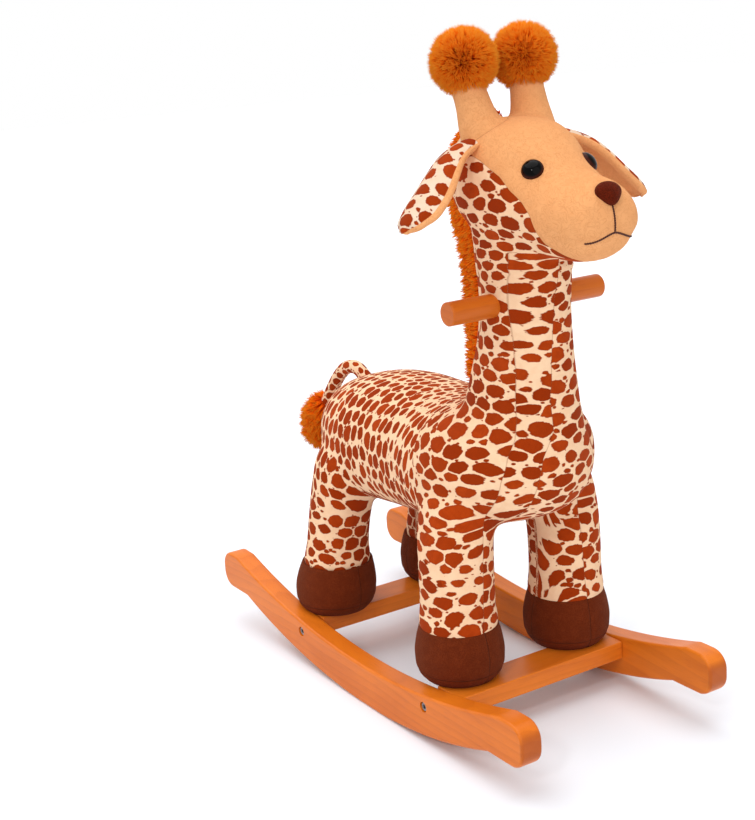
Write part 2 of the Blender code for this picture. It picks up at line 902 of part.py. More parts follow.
def make_ear(side):
    # Padded cup of an ear. Its root is a half roll about the seam, which lies along y.
    name = "ear_" + side_names[side]
    skin, _ = skin_at(head_space, (side, ear_root_y, ear_root_z), (-side, 0, 0))
    root = skin + Vector((side * ear_seat, 0, 0))
    root_share = ear_root_radius / (ear_thickness / 2)
    roll = [(share, wide, thick * root_share, cup) for share, wide, thick, cup in ear_root_sections]
    rings = []
    for share, wide, thick, cup in roll + ear_leaf_sections:
        droop = ear_droop(share)
        outward, lift = ear_point(share)
        sweep = max(share, 0) * ear_length * math.tan(ear_sweep)
        twist = ear_twist * min(max(share, 0) / ear_twist_share, 1)
        out = Vector((side * math.sin(droop), 0, math.cos(droop)))
        width = Vector((0, 1, 0)) * math.cos(twist) + out * math.sin(twist)
        face = out * math.cos(twist) - Vector((0, 1, 0)) * math.sin(twist)
        centre = root + Vector((side * outward, -sweep, lift))
        half_thick = ear_thickness / 2 * thick
        points = ring(centre, width, face, ear_root_half_width * wide, half_thick, 8)
        for point in points:
            lean = (point - centre).dot(width) / (ear_root_half_width * ear_widest_share)
            point -= face * (ear_cup * cup * lean**2)
        rings.append(points)
    ear = cage(name, rings)
    ear_spaces[side] = grown(ear, ear_turning_gap)
    place(ear, spotted_plush, smooth=True)
    reach = Vector((0, ear_root_half_width + 0.004, 0))
    groove = cylinder(name + "_groove", ear_root_radius + 3 * gap, root - reach, root + reach, sides=16)
    cut(head, as_cutter(groove))


def make_eye(side):
    # Dome and shank in one, held behind the cloth by a push washer.
    name = side_names[side]
    centre, outward = skin_at(head_space, (side * eye_x, -1, eye_z), (0, 1, 0))
    profile = [(0.0, eye_height)]
    for step in range(1, 5):
        angle = math.radians(90 - 20 * step)
        profile.append((eye_radius * math.cos(angle), eye_height * math.sin(angle)))
    profile += [(eye_radius, -0.0006), (eye_shank_radius, -0.0012),
                (eye_shank_radius, -eye_shank_length), (0.0, -eye_shank_length)]
    bm = bmesh.new()
    verts = [bm.verts.new((radius, 0, z)) for radius, z in profile]
    for first, second in zip(verts, verts[1:]):
        bm.edges.new((first, second))
    bmesh.ops.spin(bm, geom=bm.verts[:] + bm.edges[:], cent=(0, 0, 0), axis=(0, 0, 1),
                   angle=math.tau, steps=12, use_merge=True)
    bmesh.ops.remove_doubles(bm, verts=bm.verts, dist=0.00001)
    bmesh.ops.transform(bm, matrix=Matrix.Translation(centre) @ turn_to(outward), verts=bm.verts)
    eye = mesh_object("eye_" + name, bm)
    eye_space = grown(eye, padding_gap)
    place(eye, black_plastic, smooth=True)
    cut(head, eye_space)
    washer_centre = centre - outward * washer_depth
    half = outward * (washer_thickness / 2)
    washer = cylinder("eye_washer_" + name, washer_radius, washer_centre - half, washer_centre + half,
                      sides=12)
    drill([washer], "eye_washer_" + name, eye_shank_radius + gap,
          washer_centre - outward * 0.01, washer_centre + outward * 0.01)
    place(washer, clear_plastic, smooth=True)
    margin = outward * (washer_thickness / 2 + padding_gap)
    pocket = cylinder("washer_pocket_" + name, washer_radius + padding_gap,
                      washer_centre - margin, washer_centre + margin, sides=12)
    cut(head, as_cutter(pocket))


ear_spaces = {}
for side in (-1, 1):
    make_ear(side)
    make_horn(side)
    make_eye(side)

bm = bmesh.new()
bmesh.ops.create_uvsphere(bm, u_segments=14, v_segments=8, radius=1.0)
bmesh.ops.scale(bm, vec=(nose_half_width, nose_half_depth, nose_half_height), verts=bm.verts)
nose_point, nose_normal = skin_at(head_space, (0, -1, nose_z), (0, 1, 0))
nose_tilt = math.atan2(nose_normal.z, -nose_normal.y)
bmesh.ops.rotate(bm, matrix=Matrix.Rotation(-nose_tilt, 3, "X"), verts=bm.verts)
bmesh.ops.translate(bm, vec=nose_point, verts=bm.verts)
nose = mesh_object("nose", bm)
cut(nose, head_space)
place(nose, nose_plush, smooth=True)


def make_mane():
    # A strip sewn down the back of the head and neck, standing away from the skin.
    spine = [Vector((0, y, z)) for y, z, _ in mane_spine]
    rings = []
    for index, (point, section) in enumerate(zip(spine, mane_spine)):
        before = spine[max(index - 1, 0)]
        after = spine[min(index + 1, len(spine) - 1)]
        along = (after - before).normalized()
        away = along.cross(Vector((1, 0, 0)))
        away = away if away.y > 0 else -away
        rise = mane_rise * section[2]
        centre = point + away * (rise - mane_root_depth) / 2
        half = (rise + mane_root_depth) / 2
        rings.append(ring(centre, (1, 0, 0), away, mane_half_width, half, 6, power=2.6))
    mane = cage("mane", rings)
    for space in (head_space, neck_space, torso_space):
        cut(mane, space)
    return place(mane, orange_fur, smooth=True)


make_mane()


def make_tail():
    # Curved tube with a round root in the rump, and the tuft on its end.
    skin, _ = skin_at(torso_space, (0, tail_root_y, 1), (0, 0, -1))
    root = skin + Vector((0, 0, tail_seat))
    points = [root + Vector((0, y, z)) for y, z in tail_path]
    rings = []
    across = Vector((1, 0, 0))
    first = (points[1] - points[0]).normalized()
    normal = first.cross(across)
    for angle in tail_root_angles:
        turn = math.radians(angle)
        centre = root + first * (tail_radius * math.sin(turn))
        radius = tail_radius * math.cos(turn)
        rings.append(ring(centre, across, normal, radius, radius, 12, smoothed=False))
    for index, point in enumerate(points):
        before = points[max(index - 1, 0)]
        after = points[min(index + 1, len(points) - 1)]
        normal = (after - before).normalized().cross(across)
        rings.append(ring(point, across, normal, tail_radius, tail_radius, 12, smoothed=False))
    tail = cage("tail", rings, levels=0)
    tail_space = grown(tail)
    place(tail, spotted_plush, smooth=True)
    socket = bmesh.new()
    bmesh.ops.create_uvsphere(socket, u_segments=12, v_segments=8, radius=tail_radius + 4 * gap)
    bmesh.ops.translate(socket, vec=root, verts=socket.verts)
    cut(torso, as_cutter(mesh_object("tail_socket", socket)))

    tip = points[-1]
    hang = Vector(tuft_hang).normalized()
    normal = hang.cross(across)
    rings = [ring(tip + hang * (tuft_length * share), across, normal,
                  tuft_radius * wide, tuft_radius * wide, 12, smoothed=False)
             for share, wide in tuft_sections]
    tuft = cage("tail_tuft", rings, levels=0)
    cut(tuft, tail_space)
    place(tuft, orange_fur, smooth=True)


make_tail()
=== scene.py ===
import json
import math

import bmesh
import bpy
import numpy as np
from mathutils import Matrix, Vector
from mathutils.bvhtree import BVHTree


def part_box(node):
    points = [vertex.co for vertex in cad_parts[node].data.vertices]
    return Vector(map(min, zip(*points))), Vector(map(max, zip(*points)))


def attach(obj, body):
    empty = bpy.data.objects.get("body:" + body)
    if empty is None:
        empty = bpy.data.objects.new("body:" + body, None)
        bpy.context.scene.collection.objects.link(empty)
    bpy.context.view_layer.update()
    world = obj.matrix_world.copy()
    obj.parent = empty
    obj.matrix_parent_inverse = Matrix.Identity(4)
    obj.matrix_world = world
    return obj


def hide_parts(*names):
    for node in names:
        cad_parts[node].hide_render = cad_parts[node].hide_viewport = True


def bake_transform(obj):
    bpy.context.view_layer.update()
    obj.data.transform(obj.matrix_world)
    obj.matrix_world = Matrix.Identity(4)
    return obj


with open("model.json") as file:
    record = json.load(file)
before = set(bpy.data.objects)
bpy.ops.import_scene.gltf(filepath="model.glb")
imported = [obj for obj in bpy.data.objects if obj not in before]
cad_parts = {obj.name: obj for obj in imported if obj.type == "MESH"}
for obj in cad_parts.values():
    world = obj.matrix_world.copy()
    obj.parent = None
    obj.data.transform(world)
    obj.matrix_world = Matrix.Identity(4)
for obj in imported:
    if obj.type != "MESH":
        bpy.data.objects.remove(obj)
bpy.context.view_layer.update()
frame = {"nodes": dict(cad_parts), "record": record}
scene = bpy.context.scene
sideNames = {-1: "right", 1: "left"}
print("frame loaded")


def newObject(name, data):
    obj = bpy.data.objects.new(name, data)
    scene.collection.objects.link(obj)
    return obj


# Camera, where the photograph was taken from

cameraLook = {"place": (-0.8884, -1.2846, 0.7331), "yaw": 32.18, "pitch": -15.52, "roll": -3.33,
              "focus": 1521.4, "imageWidth": 755, "sensor": 36.0}


def makeCamera(look):
    yaw, pitch, roll = (math.radians(look[key]) for key in ("yaw", "pitch", "roll"))
    ahead = Vector((math.sin(yaw) * math.cos(pitch), math.cos(yaw) * math.cos(pitch), math.sin(pitch)))
    level = ahead.cross(Vector((0, 0, 1))).normalized()
    upright = level.cross(ahead)
    right = level * math.cos(roll) + upright * math.sin(roll)
    up = upright * math.cos(roll) - level * math.sin(roll)
    data = bpy.data.cameras.new("studioCamera")
    data.sensor_fit = "HORIZONTAL"
    data.sensor_width = look["sensor"]
    data.lens = look["focus"] * look["sensor"] / look["imageWidth"]
    camera = newObject("studioCamera", data)
    turn = Matrix((right, up, -ahead)).transposed().to_4x4()
    camera.matrix_world = Matrix.Translation(look["place"]) @ turn
    scene.camera = camera


makeCamera(cameraLook)

# Small helpers for meshes


def throughRows(rows, count, lengthColumns):
    # Smooth curve through the rows of a table, at even steps of its length.
    rows = np.array(rows, float)
    steps = np.linalg.norm(np.diff(rows[:, :lengthColumns], axis=0), axis=1)
    at = np.concatenate(([0.0], np.cumsum(steps)))
    slopes = np.gradient(rows, at, axis=0)
    where = np.linspace(0, at[-1], count)
    low = np.clip(np.searchsorted(at, where, side="right") - 1, 0, len(at) - 2)
    span = (at[low + 1] - at[low])[:, None]
    u = (where - at[low])[:, None] / span
    return ((1 + 2 * u) * (1 - u) ** 2 * rows[low] + u * (1 - u) ** 2 * span * slopes[low]
            + u ** 2 * (3 - 2 * u) * rows[low + 1] + u ** 2 * (u - 1) * span * slopes[low + 1])


def ovalRing(centre, across, up, halfAcross, halfUp, count, power=2.0):
    # A power above 2 makes the oval squarer.
    angle = np.arange(count) * math.tau / count
    wide = np.sign(np.cos(angle)) * np.abs(np.cos(angle)) ** (2 / power)
    high = np.sign(np.sin(angle)) * np.abs(np.sin(angle)) ** (2 / power)
    return (np.array(centre, float) + np.outer(wide * halfAcross, across) + np.outer(high * halfUp, up))


def meshObject(name, points, faces, smooth=True):
    mesh = bpy.data.meshes.new(name)
    mesh.from_pydata([tuple(map(float, point)) for point in points], [], [tuple(face) for face in faces])
    bm = bmesh.new()
    bm.from_mesh(mesh)
    bmesh.ops.recalc_face_normals(bm, faces=bm.faces)
    bm.to_mesh(mesh)
    bm.free()
    mesh.polygons.foreach_set("use_smooth", [smooth] * len(mesh.polygons))
    return newObject(name, mesh)


def shapedObject(name, shape, **sizes):
    # An object from one of bmesh's own shapes.
    bm = bmesh.new()
    shape(bm, **sizes)
    mesh = bpy.data.meshes.new(name)
    bm.to_mesh(mesh)
    bm.free()
    return newObject(name, mesh)


def shadeSmooth(obj):
    obj.data.polygons.foreach_set("use_smooth", [True] * len(obj.data.polygons))


def bandFaces(rows, count):
    # Faces between rings of points, one band after the other.
    return [(row * count + index, row * count + (index + 1) % count,
             (row + 1) * count + (index + 1) % count, (row + 1) * count + index)
            for row in range(rows - 1) for index in range(count)]


capAngles = (20, 40, 58, 74)  # degrees, where the rings lie that round off the end of a loft


def loft(name, rings, startBulge, endBulge):
    # Closed form through rings, each end rounded off by its bulge.
    rings = [np.array(ring) for ring in rings]

    def roundedEnd(ring, inner, bulge):
        centre = ring.mean(0)
        along = centre - inner.mean(0)
        along /= np.linalg.norm(along)
        caps = [centre + (ring - centre) * math.cos(angle) + along * bulge * math.sin(angle)
                for angle in np.radians(capAngles)]
        return caps, centre + along * bulge

    first, firstPole = roundedEnd(rings[0], rings[1], startBulge)
    last, lastPole = roundedEnd(rings[-1], rings[-2], endBulge)
    rings = first[::-1] + rings + last
    count = len(rings[0])
    points = np.concatenate(rings + [firstPole[None], lastPole[None]])
    faces = bandFaces(len(rings), count)
    pole = len(rings) * count
    top = (len(rings) - 1) * count
    for index in range(count):
        after = (index + 1) % count
        faces.append((after, index, pole))
        faces.append((top + index, top + after, pole + 1))
    return meshObject(name, points, faces)


def applied(obj):
    # The object's modifiers made part of its mesh.
    plain = bpy.data.meshes.new_from_object(obj.evaluated_get(bpy.context.evaluated_depsgraph_get()))
    obj.modifiers.clear()
    obj.data = plain
    return obj


def joined(name, objects):
    bm = bmesh.new()
    for obj in objects:
        bm.from_mesh(obj.data)
        bpy.data.objects.remove(obj)
    mesh = bpy.data.meshes.new(name)
    bm.to_mesh(mesh)
    bm.free()
    return newObject(name, mesh)


def remeshed(obj, voxel):
    remesh = obj.modifiers.new("voxels", "REMESH")
    remesh.mode = "VOXEL"
    remesh.voxel_size = voxel
    remesh.use_smooth_shade = True
    return applied(obj)


def vectorsOf(mesh, name):
    flat = np.empty(len(mesh.vertices) * 3)
    mesh.vertices.foreach_get(name, flat)
    return flat.reshape(-1, 3)


def pointsOf(mesh):
    return vectorsOf(mesh, "co")


def normalsOf(mesh):
    return vectorsOf(mesh, "normal")


def setPoints(mesh, points):
    mesh.vertices.foreach_set("co", points.ravel())
    mesh.update()


def relaxed(mesh, weight, rounds):
    # Moves each point towards the mean of its neighbours, by the weight at the point.
    flat = np.empty(len(mesh.edges) * 2, int)
    mesh.edges.foreach_get("vertices", flat)
    first, second = flat.reshape(-1, 2).T
    points = pointsOf(mesh)
    count = len(points)
    degree = np.bincount(first, minlength=count) + np.bincount(second, minlength=count)
    for _ in range(rounds):
        total = np.stack([np.bincount(first, points[second, axis], count)
                          + np.bincount(second, points[first, axis], count) for axis in range(3)], 1)
        points += (total / degree[:, None] - points) * weight[:, None]
    setPoints(mesh, points)


def attribute(mesh, name, values):
    vector = np.ndim(values) == 2
    made = mesh.attributes.new(name, "FLOAT_VECTOR" if vector else "FLOAT", "POINT")
    made.data.foreach_set("vector" if vector else "value", np.asarray(values, np.float32).ravel())


def ease(values, start, end):
    # From zero at the start to one at the end, smoothly.
    share = np.clip((values - start) / (end - start), 0, 1)
    return share * share * (3 - 2 * share)


def hill(points, centre, radius):
    return np.exp(-((points - np.array(centre)) ** 2).sum(1) / radius ** 2)


def treeOf(obj):
    return BVHTree.FromPolygons([v.co for v in obj.data.vertices], [p.vertices for p in obj.data.polygons])


def placed(piece, body, slot, *nodes):
    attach(piece, body)
    if nodes:
        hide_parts(*nodes)
    return piece


# Small helpers for materials


def color(red, green, blue):
    # From the values that a paint program shows.
    return tuple(((c / 255 + 0.055) / 1.055) ** 2.4 if c > 10 else c / 255 / 12.92
                 for c in (red, green, blue)) + (1.0,)


def addNode(tree, kind, inputs=None, **settings):
    node = tree.nodes.new(kind)
    for name, value in settings.items():
        setattr(node, name, value)
    for name, value in (inputs or {}).items():
        if isinstance(value, bpy.types.NodeSocket):
            tree.links.new(value, node.inputs[name])
        else:
            node.inputs[name].default_value = value
    return node


def calc(tree, operation, *values):
    return addNode(tree, "ShaderNodeMath", dict(enumerate(values)), operation=operation).outputs[0]


def mixColor(tree, factor, first, second, blend="MIX"):
    return addNode(tree, "ShaderNodeMix", {0: factor, 6: first, 7: second}, data_type="RGBA",
                   blend_type=blend).outputs[2]


def step(tree, value, low, high, start=0.0, end=1.0):
    return addNode(tree, "ShaderNodeMapRange", {0: value, 1: low, 2: high, 3: start, 4: end},
                   interpolation_type="SMOOTHSTEP").outputs[0]


def readAttribute(tree, name):
    return addNode(tree, "ShaderNodeAttribute", attribute_name=name)


def objectPlace(tree, scale=(1, 1, 1), turn=(0, 0, 0), shift=(0, 0, 0)):
    place = addNode(tree, "ShaderNodeTexCoord").outputs["Object"]
    return addNode(tree, "ShaderNodeMapping", {"Vector": place, "Scale": scale, "Rotation": turn,
                                               "Location": shift}).outputs[0]


def newGroup(name, inputs, outputs):
    group = bpy.data.node_groups.new(name, "ShaderNodeTree")
    for label, kind, value in inputs:
        group.interface.new_socket(name=label, in_out="INPUT", socket_type=kind).default_value = value
    for label, kind in outputs:
        group.interface.new_socket(name=label, in_out="OUTPUT", socket_type=kind)
    return group, group.nodes.new("NodeGroupInput"), group.nodes.new("NodeGroupOutput")


def useGroup(tree, group, inputs):
    return addNode(tree, "ShaderNodeGroup", inputs, node_tree=group).outputs


def newMaterial(name, settings):
    material = bpy.data.materials.new(name)
    material.use_nodes = True
    shader = material.node_tree.nodes["Principled BSDF"]
    for socket, value in settings.items():
        shader.inputs[socket].default_value = value
    return material, material.node_tree, shader


def setBump(tree, shader, height, distance, strength=1.0):
    bump = addNode(tree, "ShaderNodeBump", {"Height": height, "Distance": distance, "Strength": strength})
    tree.links.new(bump.outputs[0], shader.inputs["Normal"])


# Effects that several materials share


spotLook = {  # scales and sizes in cells of the print
    "uneven": 0.28, "sizeSpread": 0.17, "rounding": 0.11, "swayScale": 0.5, "sway": 0.55, "dotScale": 2.0,
    "dotUneven": 0.9, "dotOverlap": 0.01, "nibbleScale": 4.2, "fuzzScale": 15.0, "fuzz": 0.04,
    "edge": 0.024}


def makeSpotGroup():
    # Rust ovals in staggered rows on flat cloth, with small dots that fit into the wider gaps.
    look = spotLook
    group, given, result = newGroup(
        "giraffeSpots",
        [("Place", "NodeSocketVector", (0, 0, 0)), ("Gap", "NodeSocketFloat", 0.1),
         ("Reach", "NodeSocketFloat", 0.44), ("Ragged", "NodeSocketFloat", 0.1),
         ("Dots", "NodeSocketFloat", 0.15)],
        [("Spot", "NodeSocketFloat"), ("Tone", "NodeSocketFloat"), ("Depth", "NodeSocketFloat")])
    place, gap, reach = (given.outputs[name] for name in ("Place", "Gap", "Reach"))

    def noise(scale, output="Fac"):
        return addNode(group, "ShaderNodeTexNoise", {"Vector": place, "Scale": scale, "Detail": 1.0},
                       noise_dimensions="2D").outputs[output]

    def vectors(kind, first, second):
        return addNode(group, "ShaderNodeVectorMath", {0: first, 1: second}, operation=kind).outputs[0]

    def cells(vector, scale, feature, uneven):
        return addNode(group, "ShaderNodeTexVoronoi", {"Vector": vector, "Scale": scale,
                                                       "Randomness": uneven},
                       voronoi_dimensions="2D", feature=feature).outputs

    def halfRows(vector, shift):
        # Every other row of ovals: the cells are one wide and two high.
        shifted = vectors("ADD", vectors("MULTIPLY", vector, (1.0, 0.5, 0.0)), shift)
        near = cells(shifted, 1.0, "F1", look["uneven"])
        offset = vectors("MULTIPLY", vectors("SUBTRACT", shifted, near["Position"]), (1.0, 2.0, 0.0))
        distance = addNode(group, "ShaderNodeVectorMath", {0: offset}, operation="LENGTH").outputs["Value"]
        return shifted, near, distance

    def ovals(vector, shift):
        # How deep a place lies in an oval, how far it is from the oval's middle, and a random tone.
        shifted, near, distance = halfRows(vector, shift)
        second = cells(shifted, 1.0, "F2", look["uneven"])
        border = calc(group, "SUBTRACT", second["Distance"], near["Distance"])
        drawn = addNode(group, "ShaderNodeSeparateColor", {0: near["Color"]}).outputs
        smaller = calc(group, "MULTIPLY", calc(group, "POWER", drawn[1], 2.0), look["sizeSpread"])
        oval = calc(group, "SUBTRACT", calc(group, "SUBTRACT", reach, smaller), distance)
        inside = calc(group, "SMOOTH_MIN", calc(group, "SUBTRACT", border, gap), oval, look["rounding"])
        return inside, distance, drawn[0]

    sway = vectors("SUBTRACT", noise(look["swayScale"], "Color"), (0.5, 0.5, 0.5))
    moved = vectors("ADD", place, vectors("MULTIPLY", sway, (look["sway"], look["sway"], 0.0)))
    evenRows, oddRows = (0.0, 0.0, 0.0), (0.5, 0.5, 0.0)
    evenShape, evenDistance, evenTone = ovals(moved, evenRows)
    oddShape, oddDistance, oddTone = ovals(moved, oddRows)
    between = calc(group, "SUBTRACT", evenDistance, oddDistance)
    apart = calc(group, "SUBTRACT", calc(group, "ABSOLUTE", between), gap)
    shape = calc(group, "SMOOTH_MIN", calc(group, "MAXIMUM", evenShape, oddShape), apart, look["rounding"])
    odd = calc(group, "GREATER_THAN", between, 0.0)
    tone = addNode(group, "ShaderNodeMix", {0: odd, 2: evenTone, 3: oddTone}, data_type="FLOAT").outputs[0]

    small = cells(moved, look["dotScale"], "F1", look["dotUneven"])
    room = [halfRows(small["Position"], shift)[2] for shift in (evenRows, oddRows)]
    room = calc(group, "SUBTRACT", calc(group, "MINIMUM", *room),
                calc(group, "SUBTRACT", reach, look["dotOverlap"]))
    dot = calc(group, "SUBTRACT", calc(group, "MINIMUM", room, given.outputs["Dots"]),
               calc(group, "DIVIDE", small["Distance"], look["dotScale"]))

    nibble, fuzz = (calc(group, "MULTIPLY", calc(group, "SUBTRACT", noise(look[scale]), 0.5), amount)
                    for scale, amount in (("nibbleScale", given.outputs["Ragged"]),
                                          ("fuzzScale", look["fuzz"])))
    depth = calc(group, "ADD", calc(group, "MAXIMUM", shape, dot), calc(group, "ADD", nibble, fuzz))
    group.links.new(step(group, depth, -look["edge"], look["edge"]), result.inputs["Spot"])
    group.links.new(tone, result.inputs["Tone"])
    group.links.new(depth, result.inputs["Depth"])
    return group


pileLook = {"napScale": 950.0, "brushScale": 110.0, "brushBend": 0.5, "brushed": (0.32, 0.68),
            "curlBend": 2.2, "curlWidth": 0.07}


def makePileGroup():
    # Short cloth pile: fine nap, broad brushing, and worm-like curls.
    look = pileLook
    group, given, result = newGroup(
        "shortPile", [("Place", "NodeSocketVector", (0, 0, 0)), ("Curl", "NodeSocketFloat", 330.0)],
        [("Nap", "NodeSocketFloat"), ("Brushing", "NodeSocketFloat"), ("Curls", "NodeSocketFloat")])

    def noise(scale, detail, bend):
        return addNode(group, "ShaderNodeTexNoise", {"Vector": given.outputs["Place"], "Scale": scale,
                                                     "Detail": detail, "Distortion": bend}).outputs["Fac"]

    curl = noise(given.outputs["Curl"], 0.0, look["curlBend"])
    ridge = calc(group, "ABSOLUTE", calc(group, "SUBTRACT", curl, 0.5))
    group.links.new(noise(look["napScale"], 2.0, 0.0), result.inputs["Nap"])
    group.links.new(noise(look["brushScale"], 4.0, look["brushBend"]), result.inputs["Brushing"])
    group.links.new(step(group, ridge, 0.0, look["curlWidth"], 1.0, 0.0), result.inputs["Curls"])
    return group


grainLook = {"waves": (14, 3.2, 14), "pores": (1500, 55, 1500), "clouds": (32, 7, 32), "wander": 0.032,
             "flatness": 0.55, "heartDepth": 0.11, "ringRise": 2.2, "ringEnd": 0.88,
             "poresSeen": (0.56, 0.72)}


def makeGrainGroup():
    # Growth rings and pores of wood whose grain runs along Y.
    look = grainLook
    group, given, result = newGroup(
        "woodGrain", [("Place", "NodeSocketVector", (0, 0, 0)), ("Ring Width", "NodeSocketFloat", 0.004)],
        [("Rings", "NodeSocketFloat"), ("Pores", "NodeSocketFloat"), ("Clouds", "NodeSocketFloat")])
    place = given.outputs["Place"]

    def noise(stretch, detail, bend=0.0):
        stretched = addNode(group, "ShaderNodeMapping", {"Vector": place, "Scale": stretch}).outputs[0]
        return addNode(group, "ShaderNodeTexNoise", {"Vector": stretched, "Scale": 1.0, "Detail": detail,
                                                     "Distortion": bend}).outputs["Fac"]

    x, _, z = addNode(group, "ShaderNodeSeparateXYZ", {0: place}).outputs
    across = calc(group, "MULTIPLY", x, look["flatness"])
    up = calc(group, "ADD", z, look["heartDepth"])
    radius = calc(group, "SQRT", calc(group, "ADD", calc(group, "MULTIPLY", across, across),
                                      calc(group, "POWER", up, 2.0)))
    wander = calc(group, "MULTIPLY", noise(look["waves"], 2.0), look["wander"])
    ring = calc(group, "FRACT", calc(group, "DIVIDE", calc(group, "ADD", radius, wander),
                                     given.outputs["Ring Width"]))
    rings = calc(group, "MULTIPLY", calc(group, "POWER", ring, look["ringRise"]),
                 step(group, ring, look["ringEnd"], 1.0, 1.0, 0.0))
    group.links.new(rings, result.inputs["Rings"])
    group.links.new(step(group, noise(look["pores"], 2.0), *look["poresSeen"]), result.inputs["Pores"])
    group.links.new(noise(look["clouds"], 4.0, 0.5), result.inputs["Clouds"])
    return group


spotGroup = makeSpotGroup()
pileGroup = makePileGroup()
grainGroup = makeGrainGroup()

# Materials

clothColors = {"cream": (242, 203, 165), "dimCream": (230, 182, 142), "earCream": (226, 202, 178),
               "rust": (174, 62, 12), "lowRust": (142, 44, 4), "darkRust": (116, 32, 3),
               "tan": (231, 163, 107), "deepTan": (218, 145, 88), "curlTan": (192, 116, 60),
               "seam": (128, 58, 26), "hoof": (114, 46, 19), "darkHoof": (88, 31, 9),
               "hoofSeam": (44, 14, 5), "nose": (104, 30, 10), "darkNose": (70, 17, 4)}
clothFeel = {"Roughness": 0.95, "Specular IOR Level": 0.05, "Sheen Weight": 0.05, "Sheen Roughness": 0.5,
             "Sheen Tint": (1.0, 0.72, 0.5, 1.0)}


def clothColor(name):
    return color(*clothColors[name])


def clothTone(tree, pile, light, dark, share):
    # The pile lies lighter and darker in broad strokes.
    brushed = step(tree, pile["Brushing"], *pileLook["brushed"])
    return mixColor(tree, calc(tree, "MULTIPLY", brushed, share), light, dark)


def seamMask(tree, names, width):
    # One in the middle of each seam, and zero from its width on.
    mask = 0.0
    for name in names:
        distance = calc(tree, "ABSOLUTE", readAttribute(tree, name).outputs["Fac"])
        mask = calc(tree, "MAXIMUM", step(tree, distance, width * 0.3, width, 1.0, 0.0), mask)
    return mask


panelEdge = 0.00002
leftPanelShift = (7.3, 3.6, 0)  # the left half of the front is cut from another place of the cloth


def mixPlace(tree, line, first, second):
    # The second place where the line's attribute is above zero.
    share = step(tree, readAttribute(tree, line).outputs["Fac"], -panelEdge, panelEdge)
    return addNode(tree, "ShaderNodeMix", {0: share, 4: first, 5: second}, data_type="VECTOR").outputs[1]


def panelPlace(tree):
    # The skin is sewn from panels of printed cloth, each with its own place in the print.
    shoulder, body, front = (readAttribute(tree, name).outputs["Vector"]
                             for name in ("shoulderPlace", "bodyPlace", "frontPlace"))
    shifted = addNode(tree, "ShaderNodeVectorMath", {0: front, 1: leftPanelShift},
                      operation="ADD").outputs[0]
    halves = mixPlace(tree, "throatSeam", front, shifted)
    return mixPlace(tree, "frontLine", mixPlace(tree, "bodyLine", shoulder, body), halves)


spottedLook = {"brushed": 0.4, "tanBrushed": 0.25, "curl": 150.0, "curlShare": 0.24, "curlDepth": -0.9,
               "rim": 0.14, "rimShare": 0.3, "tanEdge": 0.00012, "bump": 0.0003, "bumpStrength": 0.75,
               "seams": {"names": ("frontSeam", "throatSeam", "innerSeam"), "width": 0.0007,
                         "share": 0.32},
               "faintSeams": {"names": ("hornSeam", "faceLine"), "width": 0.0006, "share": 0.3},
               "seamDepth": 3.0}


def makeSpottedCloth(name, cream, spotShape, onSkin):
    look = spottedLook
    material, tree, shader = newMaterial(name, clothFeel)
    pattern = panelPlace(tree) if onSkin else readAttribute(tree, "spotPlace").outputs["Vector"]
    spots = useGroup(tree, spotGroup, dict(spotShape, Place=pattern))
    pile = useGroup(tree, pileGroup, {"Place": readAttribute(tree, "clothPlace").outputs["Vector"],
                                      "Curl": look["curl"]})
    ground = clothTone(tree, pile, clothColor(cream), clothColor("dimCream"), look["brushed"])
    rust = mixColor(tree, spots["Tone"], clothColor("rust"), clothColor("lowRust"))
    rim = step(tree, spots["Depth"], 0.0, look["rim"], look["rimShare"], 0.0)
    rust = mixColor(tree, rim, rust, clothColor("darkRust"))
    rust = clothTone(tree, pile, rust, clothColor("lowRust"), look["brushed"])
    shown = mixColor(tree, spots["Spot"], ground, rust)

    line = readAttribute(tree, "faceLine" if onSkin else "liningLine").outputs["Fac"]
    plain = step(tree, line, -look["tanEdge"], look["tanEdge"])  # one where the cloth is plain tan
    tan = clothTone(tree, pile, clothColor("tan"), clothColor("deepTan"), look["tanBrushed"])
    tan = mixColor(tree, calc(tree, "MULTIPLY", pile["Curls"], look["curlShare"]), tan,
                   clothColor("curlTan"))
    shown = mixColor(tree, plain, shown, tan)
    curled = calc(tree, "MULTIPLY", calc(tree, "MULTIPLY", pile["Curls"], plain), look["curlDepth"])
    height = calc(tree, "ADD", pile["Nap"], curled)
    if onSkin:
        seams = [calc(tree, "MULTIPLY", seamMask(tree, seam["names"], seam["width"]), seam["share"])
                 for seam in (look["seams"], look["faintSeams"])]
        seams = calc(tree, "MAXIMUM", *seams)
        shown = mixColor(tree, seams, shown, clothColor("seam"))
        height = calc(tree, "SUBTRACT", height, calc(tree, "MULTIPLY", seams, look["seamDepth"]))
    tree.links.new(shown, shader.inputs["Base Color"])
    setBump(tree, shader, height, look["bump"], look["bumpStrength"])
    return material


plainLook = {"brushed": 0.45, "curl": 420.0, "specks": (0.35, 0.65), "speckShare": 0.8, "curlShare": 0.2,
             "curlDepth": -0.5, "seamWidth": 0.0007, "seamShare": 0.5, "seamDepth": 2.0, "bump": 0.0003,
             "bumpStrength": 0.8}


